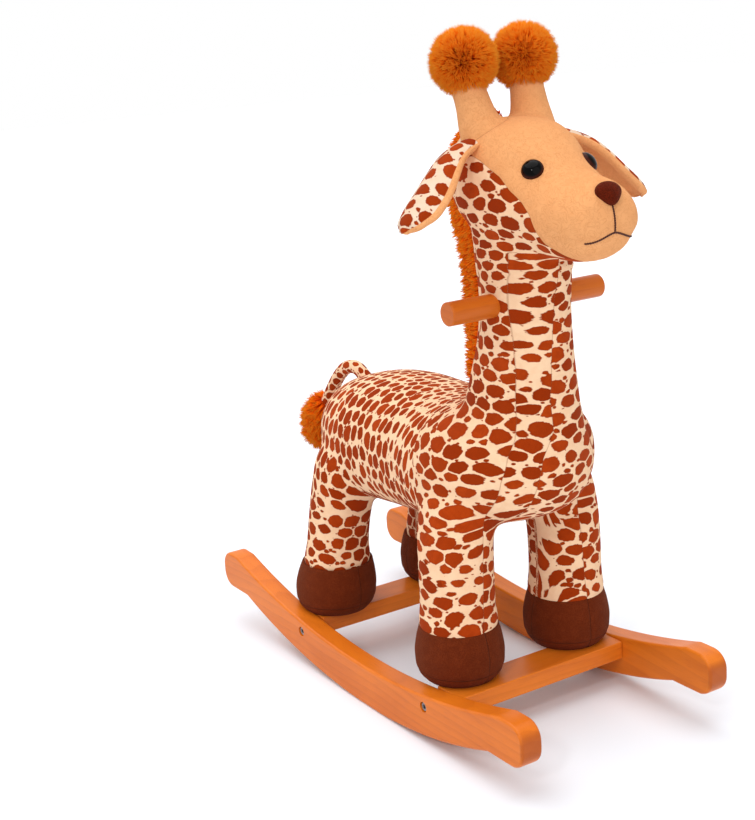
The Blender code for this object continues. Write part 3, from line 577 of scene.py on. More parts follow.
def makePlainCloth(name, light, dark, seams=()):
    look = plainLook
    material, tree, shader = newMaterial(name, clothFeel)
    pile = useGroup(tree, pileGroup, {"Place": readAttribute(tree, "clothPlace").outputs["Vector"],
                                      "Curl": look["curl"]})
    shown = clothTone(tree, pile, light, dark, look["brushed"])
    speck = step(tree, pile["Nap"], *look["specks"])
    for mask, share in ((speck, look["speckShare"]), (pile["Curls"], look["curlShare"])):
        shown = mixColor(tree, calc(tree, "MULTIPLY", mask, share), shown, dark)
    height = calc(tree, "ADD", pile["Nap"], calc(tree, "MULTIPLY", pile["Curls"], look["curlDepth"]))
    if seams:
        mask = seamMask(tree, seams, look["seamWidth"])
        shown = mixColor(tree, calc(tree, "MULTIPLY", mask, look["seamShare"]), shown,
                         clothColor("hoofSeam"))
        height = calc(tree, "SUBTRACT", height, calc(tree, "MULTIPLY", mask, look["seamDepth"]))
    tree.links.new(shown, shader.inputs["Base Color"])
    setBump(tree, shader, height, look["bump"], look["bumpStrength"])
    return material


# The strands run from dark at the roots to light at the tips, over the fur's own orange: the dark roots
# are painted shade deep in the fur, and the light tips are painted light.
furColors = {"root": (190, 36, 0), "low": (234, 68, 0), "high": (255, 122, 4), "tip": (255, 176, 56),
             "mixed": (226, 84, 0)}
furStops = {"low": 0.34, "high": 0.75}  # shares of a strand's length
furMixed = 0.3
furFeel = {"Roughness": 0.8, "Specular IOR Level": 0.06, "Sheen Weight": 0.4, "Sheen Roughness": 0.45,
           "Sheen Tint": (1.0, 0.26, 0.015, 1.0)}


def makeFur():
    material, tree, shader = newMaterial("orangeFur", furFeel)
    # Painted shade at the roots and painted light at the tips, along each strand.
    ramp = addNode(tree, "ShaderNodeValToRGB", {0: readAttribute(tree, "furShare").outputs["Fac"]})
    stops = ramp.color_ramp.elements
    stops[0].color = color(*furColors["root"])
    stops[1].color = color(*furColors["tip"])
    for name, place in furStops.items():
        stops.new(place).color = color(*furColors[name])
    tone = calc(tree, "MULTIPLY", readAttribute(tree, "lockTone").outputs["Fac"], furMixed)
    tree.links.new(mixColor(tree, tone, ramp.outputs[0], color(*furColors["mixed"])),
                   shader.inputs["Base Color"])
    return material


quarterTurn = (0, 0, math.pi / 2)
woodLook = {"feel": {"Specular IOR Level": 0.2, "Coat Weight": 0.04, "Coat Roughness": 0.2},
            "turn": (0, 0, 0), "shift": (0, 0, 0), "ringWidth": 0.0082, "ringShare": 0.26,
            "cloudShare": 0.34, "poreShare": 0.3, "roughness": (0.28, 0.14), "endsAt": None,
            "endGrain": (150, 62, 16), "endShare": 0.6, "endDepth": (0.005, 0.0005),
            "poreDepth": -0.00006, "poreStrength": 0.6}
woods = {  # what each wood has of its own
    "rockerWood": {"light": (224, 118, 26), "dark": (170, 70, 10), "shift": (0.2, 0, 0),
                   "endsAt": 0.2915},
    "rockerWoodLeft": {"light": (226, 122, 30), "dark": (174, 74, 12), "shift": (0.5, 0.4, 0.02),
                       "endsAt": 0.2915},
    "slatWood": {"light": (227, 123, 32), "dark": (176, 76, 14), "turn": quarterTurn},
    "handleWood": {"light": (206, 106, 24), "dark": (164, 68, 10), "turn": quarterTurn,
                   "shift": (0.1, 0.3, 0.0)},
    "bareWood": {"light": (222, 184, 134), "dark": (186, 140, 92), "ringShare": 0.6,
                 "feel": {"Specular IOR Level": 0.3}}}


def makeWood(name):
    look = dict(woodLook, **woods[name])
    material, tree, shader = newMaterial(name, look["feel"])
    dark = color(*look["dark"])
    place = objectPlace(tree, turn=look["turn"], shift=look["shift"])
    grain = useGroup(tree, grainGroup, {"Place": place, "Ring Width": look["ringWidth"]})
    shown = color(*look["light"])
    for mask, share in ((grain["Rings"], look["ringShare"]),
                        (step(tree, grain["Clouds"], 0.3, 0.7), look["cloudShare"]),
                        (grain["Pores"], look["poreShare"])):
        shown = mixColor(tree, calc(tree, "MULTIPLY", mask, share), shown, dark)
    if look["endsAt"]:
        along = addNode(tree, "ShaderNodeSeparateXYZ", {0: objectPlace(tree)}).outputs[1]
        start, end = (look["endsAt"] - depth for depth in look["endDepth"])
        nearEnd = step(tree, calc(tree, "ABSOLUTE", along), start, end, 0.0, look["endShare"])
        shown = mixColor(tree, nearEnd, shown, color(*look["endGrain"]))
    tree.links.new(shown, shader.inputs["Base Color"])
    least, span = look["roughness"]
    rough = calc(tree, "ADD", calc(tree, "MULTIPLY", grain["Clouds"], span), least)
    tree.links.new(rough, shader.inputs["Roughness"])
    height = calc(tree, "ADD", calc(tree, "MULTIPLY", grain["Rings"], 0.3), grain["Pores"])
    setBump(tree, shader, height, look["poreDepth"], look["poreStrength"])
    return material


def hazeOf(tree, scale, detail=2.0):
    return addNode(tree, "ShaderNodeTexNoise", {"Vector": objectPlace(tree), "Scale": scale,
                                                "Detail": detail}).outputs["Fac"]


def makeMetal(name):
    material, tree, shader = newMaterial(name, {"Metallic": 1.0})
    scratch = hazeOf(tree, 900.0, 3.0)
    tree.links.new(step(tree, scratch, 0.3, 0.7, 0.28, 0.5), shader.inputs["Roughness"])
    tree.links.new(mixColor(tree, scratch, color(120, 120, 122), color(165, 165, 168)),
                   shader.inputs["Base Color"])
    setBump(tree, shader, scratch, 0.00005, 0.5)
    return material


def makeWasherPlastic(name):
    material, tree, shader = newMaterial(name, {"Specular IOR Level": 0.4})
    haze = hazeOf(tree, 500.0)
    tree.links.new(mixColor(tree, haze, color(228, 228, 222), color(208, 207, 200)),
                   shader.inputs["Base Color"])
    tree.links.new(step(tree, haze, 0.3, 0.7, 0.42, 0.58), shader.inputs["Roughness"])
    return material


eyeColors = {"pupil": (2, 2, 2), "rim": (64, 24, 12), "haze": (14, 9, 9)}


def makeEyePlastic(name):
    material, tree, shader = newMaterial(name, {"Specular IOR Level": 0.07})
    rim = step(tree, readAttribute(tree, "eyeShare").outputs["Fac"], 0.74, 0.98)
    shown = mixColor(tree, rim, color(*eyeColors["pupil"]), color(*eyeColors["rim"]))
    haze = hazeOf(tree, 300.0)
    tree.links.new(mixColor(tree, calc(tree, "MULTIPLY", haze, 0.12), shown, color(*eyeColors["haze"])),
                   shader.inputs["Base Color"])
    tree.links.new(step(tree, haze, 0.3, 0.8, 0.05, 0.09), shader.inputs["Roughness"])
    return material


prints = {"body": {"Gap": 0.085, "Reach": 0.472, "Ragged": 0.15, "Dots": 0.18},
          "ear": {"Gap": 0.08, "Reach": 0.46, "Ragged": 0.15, "Dots": 0.16},
          "tail": {"Gap": 0.1, "Reach": 0.46, "Ragged": 0.12, "Dots": 0.12}}


bodyCloth = makeSpottedCloth("spottedPlush", "cream", prints["body"], True)
earCloth = makeSpottedCloth("earPlush", "earCream", prints["ear"], False)
tailCloth = makeSpottedCloth("tailPlush", "cream", prints["tail"], False)
hoofCloth = makePlainCloth("hoofPlush", clothColor("hoof"), clothColor("darkHoof"),
                           ("hoofSeam", "soleSeam"))
noseCloth = makePlainCloth("nosePlush", clothColor("nose"), clothColor("darkNose"))
furMaterial = makeFur()
rockerWood = {-1: makeWood("rockerWood"), 1: makeWood("rockerWoodLeft")}
slatWood = makeWood("slatWood")
handleWood = makeWood("handleWood")
bareWood = makeWood("bareWood")
steel = makeMetal("zincSteel")
washerPlastic = makeWasherPlastic("washerPlastic")
eyePlastic = makeEyePlastic("eyePlastic")
print("materials made")

# The sewn skin: body, neck, head, horns and legs in one

skinLook = {"voxel": 0.0028, "roundSteps": 56, "filletShare": 0.9, "filletRounds": 46,
            "throatZ": 0.494, "throatHeight": 0.016, "throatTop": (-0.53, -0.51), "throatShare": 0.75,
            "hornFoot": (0.0305, -0.131, 0.608), "hornFootRadius": 0.022, "hornFootShare": 0.6,
            "hornFootRounds": 8, "eveningShare": 0.6, "evening": 4, "seamDepth": 0.0006,
            "seamWidth": 0.0026, "borderWidth": 0.0024, "headFrom": 0.483, "faceFrom": 0.478,
            "eyeHollow": 0.0022, "eyeHollowRadius": 0.013, "eyesBefore": -0.17}
softJoins = [  # centre and radius of the places where two forms run into each other
    ((0.062, -0.112, 0.215), 0.045), ((0.060, 0.100, 0.205), 0.045), ((0.040, -0.135, 0.320), 0.055),
    ((0.0, -0.085, 0.325), 0.045), ((0.0, -0.195, 0.325), 0.040), ((0.045, -0.17, 0.330), 0.045)]
faceRises = [  # how far the cloth of the face stands out, where, and how wide
    (0.0020, (0.026, -0.262, 0.524), 0.020), (0.0012, (0.040, -0.225, 0.530), 0.022),
    (-0.0012, (0.0, -0.278, 0.500), 0.010), (-0.0012, (0.0, -0.250, 0.565), 0.016),
    (-0.0022, (0.030, -0.268, 0.508), 0.0065), (0.0012, (0.020, -0.272, 0.517), 0.008)]
gatherLook = {"depth": 0.0026, "width": 0.013, "bottom": (0.225, 0.25), "top": (0.30, 0.32)}
foldLook = {"z": 0.474, "height": 0.011, "lift": 0.0009, "length": 0.0021, "slope": 0.12,
            "front": (0.15, 0.175)}
handleDent = {"depth": 0.0014, "centre": (0.0405, -0.1495, 0.4364), "radius": 0.016}
torsoSections = [  # y, half width, bottom, top, squareness
    (-0.200, 0.022, 0.252, 0.300, 2.3), (-0.188, 0.046, 0.234, 0.322, 2.3),
    (-0.164, 0.072, 0.219, 0.334, 2.3), (-0.130, 0.090, 0.208, 0.334, 2.3),
    (-0.086, 0.095, 0.198, 0.328, 2.3), (-0.032, 0.088, 0.192, 0.322, 2.3),
    (0.020, 0.085, 0.187, 0.323, 2.3), (0.068, 0.087, 0.184, 0.323, 2.3),
    (0.106, 0.083, 0.188, 0.319, 2.3), (0.136, 0.071, 0.196, 0.311, 2.3),
    (0.162, 0.050, 0.209, 0.298, 2.3), (0.178, 0.024, 0.226, 0.276, 2.3)]
headSections = [
    (-0.080, 0.016, 0.548, 0.572, 2.0), (-0.088, 0.035, 0.522, 0.591, 2.1),
    (-0.110, 0.053, 0.505, 0.605, 2.4), (-0.142, 0.060, 0.495, 0.610, 2.7),
    (-0.176, 0.0555, 0.489, 0.605, 2.4), (-0.206, 0.0485, 0.485, 0.586, 2.1),
    (-0.232, 0.0455, 0.483, 0.566, 2.1), (-0.255, 0.0425, 0.485, 0.560, 2.1),
    (-0.2715, 0.0335, 0.491, 0.550, 2.1), (-0.2775, 0.0195, 0.501, 0.536, 2.0)]
neckSections = [  # z, centre y, half width, half depth
    (0.300, -0.139, 0.060, 0.066), (0.345, -0.142, 0.052, 0.060), (0.395, -0.1475, 0.0430, 0.0520),
    (0.441, -0.1495, 0.0408, 0.0492), (0.485, -0.149, 0.044, 0.053), (0.530, -0.146, 0.046, 0.052)]
legSections = {  # share of the height, x, y, radius
    "front": [(0.0, 0.0700, -0.1145, 0.0400), (0.14, 0.0700, -0.1145, 0.0385),
              (0.40, 0.0697, -0.1143, 0.0383), (0.70, 0.0675, -0.1125, 0.0385),
              (0.93, 0.0630, -0.1110, 0.0350), (1.0, 0.0610, -0.1110, 0.0170)],
    "rear": [(0.0, 0.0700, 0.1200, 0.0375), (0.14, 0.0692, 0.1180, 0.0355),
             (0.40, 0.0670, 0.1120, 0.0355), (0.70, 0.0625, 0.1030, 0.0375),
             (0.93, 0.0580, 0.0975, 0.0350), (1.0, 0.0570, 0.0970, 0.0170)]}
legSpan = (0.1098, 0.252)
hornShape = {"base": (0.0300, -0.132, 0.598), "radius": 0.0215,
             "radii": [(-0.35, 1.05), (0.0, 1.03), (0.45, 0.85), (1.0, 0.74)]}
pompomShape = {"centre": (0.0352, -0.1135, 0.662), "radius": 0.032}
eyePlace = (0.033, 0.568)


def lyingForm(name, sections, startBulge, endBulge):
    rows = throughRows(sections, skinLook["roundSteps"], 4)
    rings = [ovalRing((0, y, (low + high) / 2), (1, 0, 0), (0, 0, 1), half, (high - low) / 2,
                      skinLook["roundSteps"], power) for y, half, low, high, power in rows]
    return loft(name, rings, startBulge, endBulge)


def standingForm(name, rows, startBulge, endBulge):
    # Rows of x, y, z, half width, half depth.
    rows = throughRows(rows, skinLook["roundSteps"], 5)
    rings = [ovalRing((x, y, z), (1, 0, 0), (0, 1, 0), half, depth, skinLook["roundSteps"])
             for x, y, z, half, depth in rows]
    return loft(name, rings, startBulge, endBulge)


def legRows(row, side):
    bottom, top = legSpan
    sunk = legSections[row][0]
    rows = [(side * sunk[1], sunk[2], bottom - 0.012, sunk[3] - 0.003, sunk[3] - 0.003)]
    return rows + [(side * x, y, bottom + (top - bottom) * share, radius, radius)
                   for share, x, y, radius in legSections[row]]


def hornRows(side):
    start = Vector(hornShape["base"])
    end = Vector(pompomShape["centre"]) - Vector((0, 0, pompomShape["radius"] * 0.4))
    rows = []
    for share, wide in hornShape["radii"]:
        centre = start.lerp(end, share)
        radius = hornShape["radius"] * wide
        rows.append((side * centre.x, centre.y, centre.z, radius, radius))
    return rows


def linearDistance(points, line):
    # Signed distance in two dimensions from a line of points, positive on its left.
    line = np.array(line)
    best = np.full(len(points), 1e9)
    signed = np.zeros(len(points))
    for start, end in zip(line, line[1:]):
        way = end - start
        share = np.clip(((points - start) @ way) / (way @ way), 0, 1)
        gap = points - start - share[:, None] * way
        distance = np.hypot(gap[:, 0], gap[:, 1])
        side = np.sign(way[0] * (points - start)[:, 1] - way[1] * (points - start)[:, 0])
        nearer = distance < best - 1e-9
        best[nearer] = distance[nearer]
        signed[nearer] = (distance * side)[nearer]
    return signed


faceBorder = [  # y and z, seen from the side, from under the chin up and back over the head
    (-0.262, 0.470), (-0.2469, 0.4901), (-0.2401, 0.4976), (-0.2307, 0.504), (-0.2259, 0.5147),
    (-0.2204, 0.5293), (-0.2097, 0.5403), (-0.1959, 0.5498), (-0.1838, 0.5618), (-0.1616, 0.5747),
    (-0.132, 0.5863), (-0.112, 0.596), (-0.098, 0.606), (-0.090, 0.625), (-0.086, 0.700)]
frontSeamX = ([0.05, 0.107, 0.15, 0.18, 0.202, 0.222, 0.244, 0.270, 0.295, 0.3115, 0.3274, 0.3522, 0.3765,
               0.4068, 0.4369, 0.4643, 0.50],
              [0.067, 0.0668, 0.0644, 0.0630, 0.0608, 0.0595, 0.0600, 0.0577, 0.0510, 0.0428, 0.0398,
               0.0381, 0.0357, 0.0351, 0.0361, 0.0370, 0.038])
throatX = ([0.20, 0.277, 0.292, 0.299, 0.318, 0.351, 0.366, 0.381, 0.449, 0.468, 0.50],
           [-0.040, -0.0254, -0.0218, -0.0187, -0.0104, -0.0118, -0.0091, -0.009, -0.0025, 0.0011, 0.002])
flankY = ([0.05, 0.20, 0.24, 0.259, 0.276, 0.291, 0.304, 0.315, 0.33, 0.345],
          [-0.0735, -0.0745, -0.0795, -0.0819, -0.0775, -0.0719, -0.066, -0.074, -0.088, -0.098])
farAway = 0.05
seamReach = {"frontY": -0.118, "frontZ": 0.492, "throatY": -0.15, "throatZ": (0.21, 0.49),
             "innerFrontY": -0.1165, "innerRear": ((0.107, 0.21), (0.119, 0.107)), "innerZ": 0.21,
             "innerX": 0.066, "hornZ": 0.585, "hornShift": 0.0006, "hornRadius": 0.0243}


def keptWhere(valid, distance):
    # Beyond its own stretch a seam is far off, on the same side.
    return np.where(valid, distance, np.copysign(farAway, distance))


def seamLines(points):
    reach = seamReach
    x, y, z = points.T
    wide = np.abs(x)
    front = keptWhere((y < reach["frontY"]) & (z < reach["frontZ"]), wide - np.interp(z, *frontSeamX))
    low, high = reach["throatZ"]
    throat = keptWhere((y < reach["throatY"]) & (z > low) & (z < high), x - np.interp(z, *throatX))
    inner = np.where(y < 0, y - reach["innerFrontY"], y - np.interp(z, *reach["innerRear"]))
    inner = keptWhere((z < reach["innerZ"]) & (wide < reach["innerX"]), inner)
    centre = hornShape["base"]
    radial = np.hypot(wide - centre[0] - reach["hornShift"], y - centre[1])
    horn = keptWhere(z > reach["hornZ"], radial - reach["hornRadius"])
    return {"frontSeam": front, "throatSeam": throat, "innerSeam": inner, "hornSeam": horn}


printLook = {"wide": 0.0245, "bodyWide": 0.0126, "bodyRadius": 0.080, "bodyMiddle": 0.262,
             "legRadius": 0.038, "neckRadius": 0.050, "neckY": -0.149, "foot": (0.070, -0.1145),
             "legTop": (0.185, 0.235), "neckFrom": (0.335, 0.365), "leftShift": 37.0,
             "rump": (0.150, 0.176), "rumpWidth": 0.05, "bodyEnd": 0.1825, "rearFoot": (0.068, 0.112),
             "rearLegTop": (0.165, 0.225), "rearHalf": 0.05, "inward": (0.012, 0.036),
             "chest": (-0.15, 0.27), "chestRadius": 0.055, "chestSide": (0.018, 0.045)}
printBands = {  # places along the cloth, and how large the print's cells are there
    "shoulderUp": ([0.05, 0.20, 0.30, 0.345, 0.40, 0.455, 0.475, 0.495, 0.52, 0.545, 0.72],
                   [0.0156, 0.0156, 0.0150, 0.0138, 0.0138, 0.0124, 0.0110, 0.0104, 0.0132, 0.0156,
                    0.0164]),
    "bodyUp": ([-0.25, -0.09, -0.05, 0.0, 0.30], [0.0155, 0.0155, 0.0175, 0.0185, 0.0185]),
    "bodyAlong": ([-0.25, -0.10, -0.07, -0.045, 0.0, 0.3],
                  [0.0126, 0.0108, 0.0095, 0.0108, 0.0126, 0.0126]),
    "frontUp": ([0.05, 0.20, 0.24, 0.30, 0.40, 0.455, 0.475, 0.55],
                [0.0156, 0.0152, 0.0138, 0.0154, 0.0146, 0.0136, 0.0112, 0.0112])}


def cellsAlong(values, places, sizes):
    # How many cells of the print lie below each value, where their size changes on the way.
    fine = np.linspace(places[0], places[-1], 800)
    run = np.cumsum(1 / np.interp(fine, places, sizes)) * (fine[1] - fine[0])
    return np.interp(values, fine, run)


def flatPlace(across, up):
    return np.stack([across, up, np.zeros(len(across))], 1)


def panelPlaces(points):
    # Places in the print: wide ovals on neck, shoulders and legs, and tall ones over the body.
    look = printLook
    x, y, z = points.T
    wide = np.abs(x)
    footX, footY = look["foot"]
    low = 1 - ease(z, *look["legTop"])
    high = ease(z, *look["neckFrom"])
    turned = np.arctan2(y - footY, wide - footX)
    behind = y - look["neckY"]
    rounded = np.where(behind > 0, look["neckRadius"] * np.arctan2(behind, wide), behind)
    run = ((y - footY) * (1 - low - high) + turned * look["legRadius"] * low
           + (rounded + look["neckY"] - footY) * high)
    shoulder = flatPlace(run / look["wide"] + np.where(x > 0, look["leftShift"], 0.0),
                         cellsAlong(z, *printBands["shoulderUp"]))

    above = z - look["bodyMiddle"]
    top = look["bodyRadius"] * math.pi / 2
    rump = ease(y, *look["rump"])  # where the print lies flat over the end of the body
    lean = np.arctan2(above, np.hypot(wide, look["rumpWidth"] * rump))
    arc = np.where(above > 0, look["bodyRadius"] * lean, above)
    levels = printBands["bodyUp"]
    tall = cellsAlong(arc, *levels)
    tall = np.where(x < 0, tall, 2 * cellsAlong(np.array([top]), *levels)[0] - tall)
    profile = np.array([(row[0], row[1]) for row in torsoSections] + [(look["bodyEnd"], 0.0)])
    lengths = np.concatenate(([0], np.cumsum(np.hypot(*np.diff(profile, axis=0).T))))
    along = np.interp(y, profile[:, 0], lengths)
    along = along * (1 - rump) + (lengths[-1] - wide) * rump
    leg = 1 - ease(z, *look["rearLegTop"])
    near = y - look["rearFoot"][1]
    around = look["legRadius"] * np.arctan2(near, wide - look["rearFoot"][0])
    crowd = cellsAlong(y, *printBands["bodyAlong"]) + (along - y) / look["bodyWide"]
    swing = (around / look["wide"]
             - np.clip(near, -look["rearHalf"], look["rearHalf"]) / look["bodyWide"])
    body = flatPlace(crowd + leg * swing, tall + 50)

    inward = low * ease(wide, *look["inward"])
    across = wide * (1 - inward) + (footX + look["legRadius"] * (turned + math.pi / 2)) * inward
    chestY, chestZ = look["chest"]
    under = np.clip(np.arctan2(z - chestZ, chestY - y), -math.pi / 2, 0)
    bulge = chestZ + look["chestRadius"] * under - np.maximum(y - chestY, 0)
    outer = ease(wide, *look["chestSide"])
    bulge = np.where(z < chestZ, bulge, z) * (1 - outer) + z * outer
    front = flatPlace(np.sign(x) * across / look["wide"], cellsAlong(bulge, *printBands["frontUp"]) + 90)
    return {"shoulderPlace": shoulder, "bodyPlace": body, "frontPlace": front}


panelEnds = {"frontY": -0.1165, "frontZ": 0.490, "bodyZ": 0.352}


def panelLines(points):
    # Above zero inside the front panel, and inside the body panel.
    x, y, z = points.T
    front = np.minimum(np.interp(z, *frontSeamX) - np.abs(x), panelEnds["frontY"] - y)
    front = np.minimum(front, panelEnds["frontZ"] - z)
    body = np.minimum(y - np.interp(z, *flankY), panelEnds["bodyZ"] - z)
    return {"frontLine": front, "bodyLine": body}


def onOneSide(points):
    # Both halves laid over each other, because the forms are alike on both sides.
    return np.stack([np.abs(points[:, 0]), points[:, 1], points[:, 2]], 1)


def groove(distance, width):
    return np.exp(-(distance / width) ** 2)


def makeSkin():
    look = skinLook
    forms = [lyingForm("torsoForm", torsoSections, 0.0045, 0.0045),
             lyingForm("headForm", headSections, 0.003, 0.003),
             standingForm("neckForm", [(0, y, z, a, b) for z, y, a, b in neckSections], 0.01, 0.01)]
    for side in (-1, 1):
        forms += [standingForm("legForm", legRows(row, side), 0.004, 0.006) for row in ("front", "rear")]
        forms.append(standingForm("hornForm", hornRows(side), 0.002, 0.002))
    skin = remeshed(joined("plush_skin", forms), look["voxel"])
    mesh = skin.data
    points = pointsOf(mesh)
    mirrored = onOneSide(points)
    z = points[:, 2]
    # Joints between the forms are rounded, as cloth over stuffing is.
    soft = look["throatShare"] * groove(z - look["throatZ"], look["throatHeight"])
    soft *= ease(-z, *look["throatTop"])
    for centre, radius in softJoins:
        soft = np.maximum(soft, hill(mirrored, centre, radius))
    hornFoot = hill(mirrored, look["hornFoot"], look["hornFootRadius"])
    relaxed(mesh, look["filletShare"] * soft, look["filletRounds"])
    relaxed(mesh, look["hornFootShare"] * hornFoot, look["hornFootRounds"])
    relaxed(mesh, np.full(len(points), look["eveningShare"]), look["evening"])

    points = pointsOf(mesh)
    normals = normalsOf(mesh)
    mirrored = onOneSide(points)
    x, y, z = mirrored.T
    eyeHollow = hill(mirrored[:, [0, 2]], eyePlace, look["eyeHollowRadius"]) * (y < look["eyesBefore"])
    lift = -look["eyeHollow"] * eyeHollow
    for rise, centre, radius in faceRises:
        lift += rise * hill(mirrored, centre, radius)
    border = groove(linearDistance(mirrored[:, 1:], faceBorder), look["borderWidth"])
    lift -= np.where(z > look["headFrom"], look["seamDepth"] * border, 0)
    for distance in seamLines(points).values():
        lift -= look["seamDepth"] * groove(distance, look["seamWidth"])
    gather = groove(y - np.interp(z, *flankY), gatherLook["width"])
    gather *= ease(z, *gatherLook["bottom"]) * (1 - ease(z, *gatherLook["top"]))
    lift -= gatherLook["depth"] * gather
    fold = groove(z - foldLook["z"], foldLook["height"]) * ease(-y, *foldLook["front"])
    wave = np.cos((z - foldLook["z"] + foldLook["slope"] * x) / foldLook["length"])
    lift += foldLook["lift"] * wave * fold
    lift -= handleDent["depth"] * hill(mirrored, handleDent["centre"], handleDent["radius"])
    points += normals * lift[:, None]
    setPoints(mesh, points)

    attribute(mesh, "clothPlace", points)
    inFront = linearDistance(points[:, 1:], faceBorder)
    attribute(mesh, "faceLine", np.where(points[:, 2] > look["faceFrom"], inFront, -farAway))
    for values in (seamLines(points), panelPlaces(points), panelLines(points)):
        for name, value in values.items():
            attribute(mesh, name, value)
    mesh.materials.clear()
    mesh.materials.append(bodyCloth)
    shadeSmooth(skin)
    legs = ["leg_%s_%s" % (row, name) for row in ("front", "rear") for name in sideNames.values()]
    placed(skin, "giraffe", "spotted_plush", "torso", "neck", "head", "horn_right", "horn_left", *legs)
    return skin


skin = makeSkin()
skinTree = treeOf(skin)
print("skin made:", len(skin.data.polygons), "faces")


def skinAt(origin, direction):
    point, normal, _, _ = skinTree.ray_cast(Vector(origin), Vector(direction))
    return point, normal


# Hooves

hoofShape = {"top": 0.1095, "bottom": 0.0538, "steps": 40, "sides": 72, "soleHeight": 0.0105,
             "feet": {"front": (0.070, -0.1145), "rear": (0.0725, 0.1235)},
             "sections": [(0.0, 0.0365), (0.10, 0.0415), (0.42, 0.0458), (0.76, 0.0438), (1.0, 0.0402)],
             "rim": [(0.0012, 0.0006), (0.0026, 0.0), (0.0034, -0.002), (0.004, -0.005)],
             "under": [(0.55, 0.00005), (0.8, 0.00005), (0.93, 0.0)],
             "seamX": ((0.0538, 0.0832, 0.1095), (0.0668, 0.0655, 0.0664)), "seamMiddle": 0.070,
             "innerShift": 0.002, "innerFrom": 0.022, "seamDepth": 0.0007, "seamWidth": 0.0022,
             "soleDepth": 0.0006, "soleWidth": 0.002, "soleReach": 0.03, "flatFrom": 0.85}


def makeHoof(row, side):
    look = hoofShape
    label = row + "_" + sideNames[side]
    foot = np.array(look["feet"][row])
    ankle = np.array(legSections[row][0][1:3])
    bottom, top = look["bottom"], look["top"]
    rings = []
    for share, radius in throughRows(look["sections"], look["steps"], 2):
        centre = foot + (ankle - foot) * share ** 2
        rings.append(ovalRing((side * centre[0], centre[1], bottom + (top - bottom) * share), (1, 0, 0),
                              (0, 1, 0), radius, radius, look["sides"]))
    rim = rings[-1]
    centre = rim.mean(0)
    for inward, rise in look["rim"]:
        shrink = 1 - inward / legSections[row][0][3]
        rings.append(centre + (rim - centre) * shrink + np.array((0, 0, rise)))
    sole = rings[0]
    soleCentre = sole.mean(0)
    under = [soleCentre + (sole - soleCentre) * share + np.array((0, 0, -drop))
             for share, drop in look["under"]]
    hoof = loft("hoof_" + label + "_cloth", under + rings, 0.00005, 0.0001)
    mesh = hoof.data
    points = pointsOf(mesh)
    normals = normalsOf(mesh)
    x, y, z = points.T
    wide = np.abs(x)
    middle = (foot + ankle) / 2
    frontSeam = np.interp(z, *look["seamX"]) + (middle[0] - look["seamMiddle"])
    distance = keptWhere(y < middle[1], wide - frontSeam)
    inner = keptWhere(wide < middle[0], y - middle[1] - look["innerShift"])
    distance = np.where(wide < middle[0] - look["innerFrom"], inner, distance)
    soleSeam = z - bottom - look["soleHeight"]
    upright = np.abs(normals[:, 2]) < look["flatFrom"]
    lift = (-look["seamDepth"] * groove(distance, look["seamWidth"])
            - look["soleDepth"] * groove(soleSeam, look["soleWidth"]))
    points += normals * (lift * upright)[:, None]
    setPoints(mesh, points)
    attribute(mesh, "clothPlace", points + np.array((0.3 * side, 0.2, 0)))
    attribute(mesh, "hoofSeam", distance)
    attribute(mesh, "soleSeam", keptWhere(z < bottom + look["soleReach"], soleSeam))
    mesh.materials.append(hoofCloth)
    placed(hoof, "giraffe", "hoof_plush", "hoof_" + label)


for row in ("front", "rear"):
    for side in (-1, 1):
        makeHoof(row, side)
print("hooves made")

# Fur, grown in locks over a soft core

furLook = {"strands": 6, "spread": 0.00165, "thickness": 0.00050, "gather": 0.38, "seed": 7,
           "turn": 2.4, "turnSpread": 0.6, "shortest": 0.78, "bend": 0.055, "bendReach": 0.012,
           "levels": ((0.0, 1.0), (0.62, 0.95)), "coreShare": 0.12}


def makeLock(name, seed):
    # A lock one unit long and its full width across, of bent strands that draw together to their tips.
    look = furLook
    draw = np.random.default_rng(seed)
    points, faces, shares = [], [], []

    def middleOf(root, bend, share, length):
        across = root * (1 - share * look["gather"]) + bend * share ** 2 * look["bendReach"]
        return np.array((*across, share * length))

    for index in range(look["strands"]):
        angle = index * look["turn"] + draw.uniform(0, look["turnSpread"])
        out = math.sqrt((index + 0.4) / look["strands"]) * look["spread"]
        root = out * np.array((math.cos(angle), math.sin(angle)))
        length = draw.uniform(look["shortest"], 1.0)
        bend = draw.normal(0, look["bend"], 2)
        start = len(points)
        for share, thick in look["levels"]:
            for corner in range(3):
                turn = angle + corner * math.tau / 3
                edge = np.array((math.cos(turn), math.sin(turn), 0)) * look["thickness"] * thick
                points.append(middleOf(root, bend, share, length) + edge)
                shares.append(share)
        points.append(middleOf(root, bend, 1.0, length))
        shares.append(1.0)
        for corner in range(3):
            after = (corner + 1) % 3
            faces.append((start + corner, start + after, start + 3 + after, start + 3 + corner))
            faces.append((start + 3 + corner, start + 3 + after, start + 6))
        faces.append((start + 2, start + 1, start))
    lock = meshObject(name, points, faces)
    attribute(lock.data, "furShare", shares)
    return lock


def newTree(name, inputs):
    # A tree of geometry nodes with named inputs, and the identifier of each.
    tree = bpy.data.node_groups.new(name, "GeometryNodeTree")
    sockets = {}
    for label, kind, value in inputs:
        made = tree.interface.new_socket(name=label, in_out="INPUT", socket_type=kind)
        if value is not None:
            made.default_value = value
        sockets[label] = made.identifier
    tree.interface.new_socket(name="Geometry", in_out="OUTPUT", socket_type="NodeSocketGeometry")
    return tree, sockets, tree.nodes.new("NodeGroupInput").outputs


def endTree(tree, geometry, material):
    real = addNode(tree, "GeometryNodeRealizeInstances", {"Geometry": geometry})
    dressed = addNode(tree, "GeometryNodeSetMaterial", {"Geometry": real.outputs[0],
                                                        "Material": material})
    result = tree.nodes.new("NodeGroupOutput")
    tree.links.new(dressed.outputs[0], result.inputs[0])


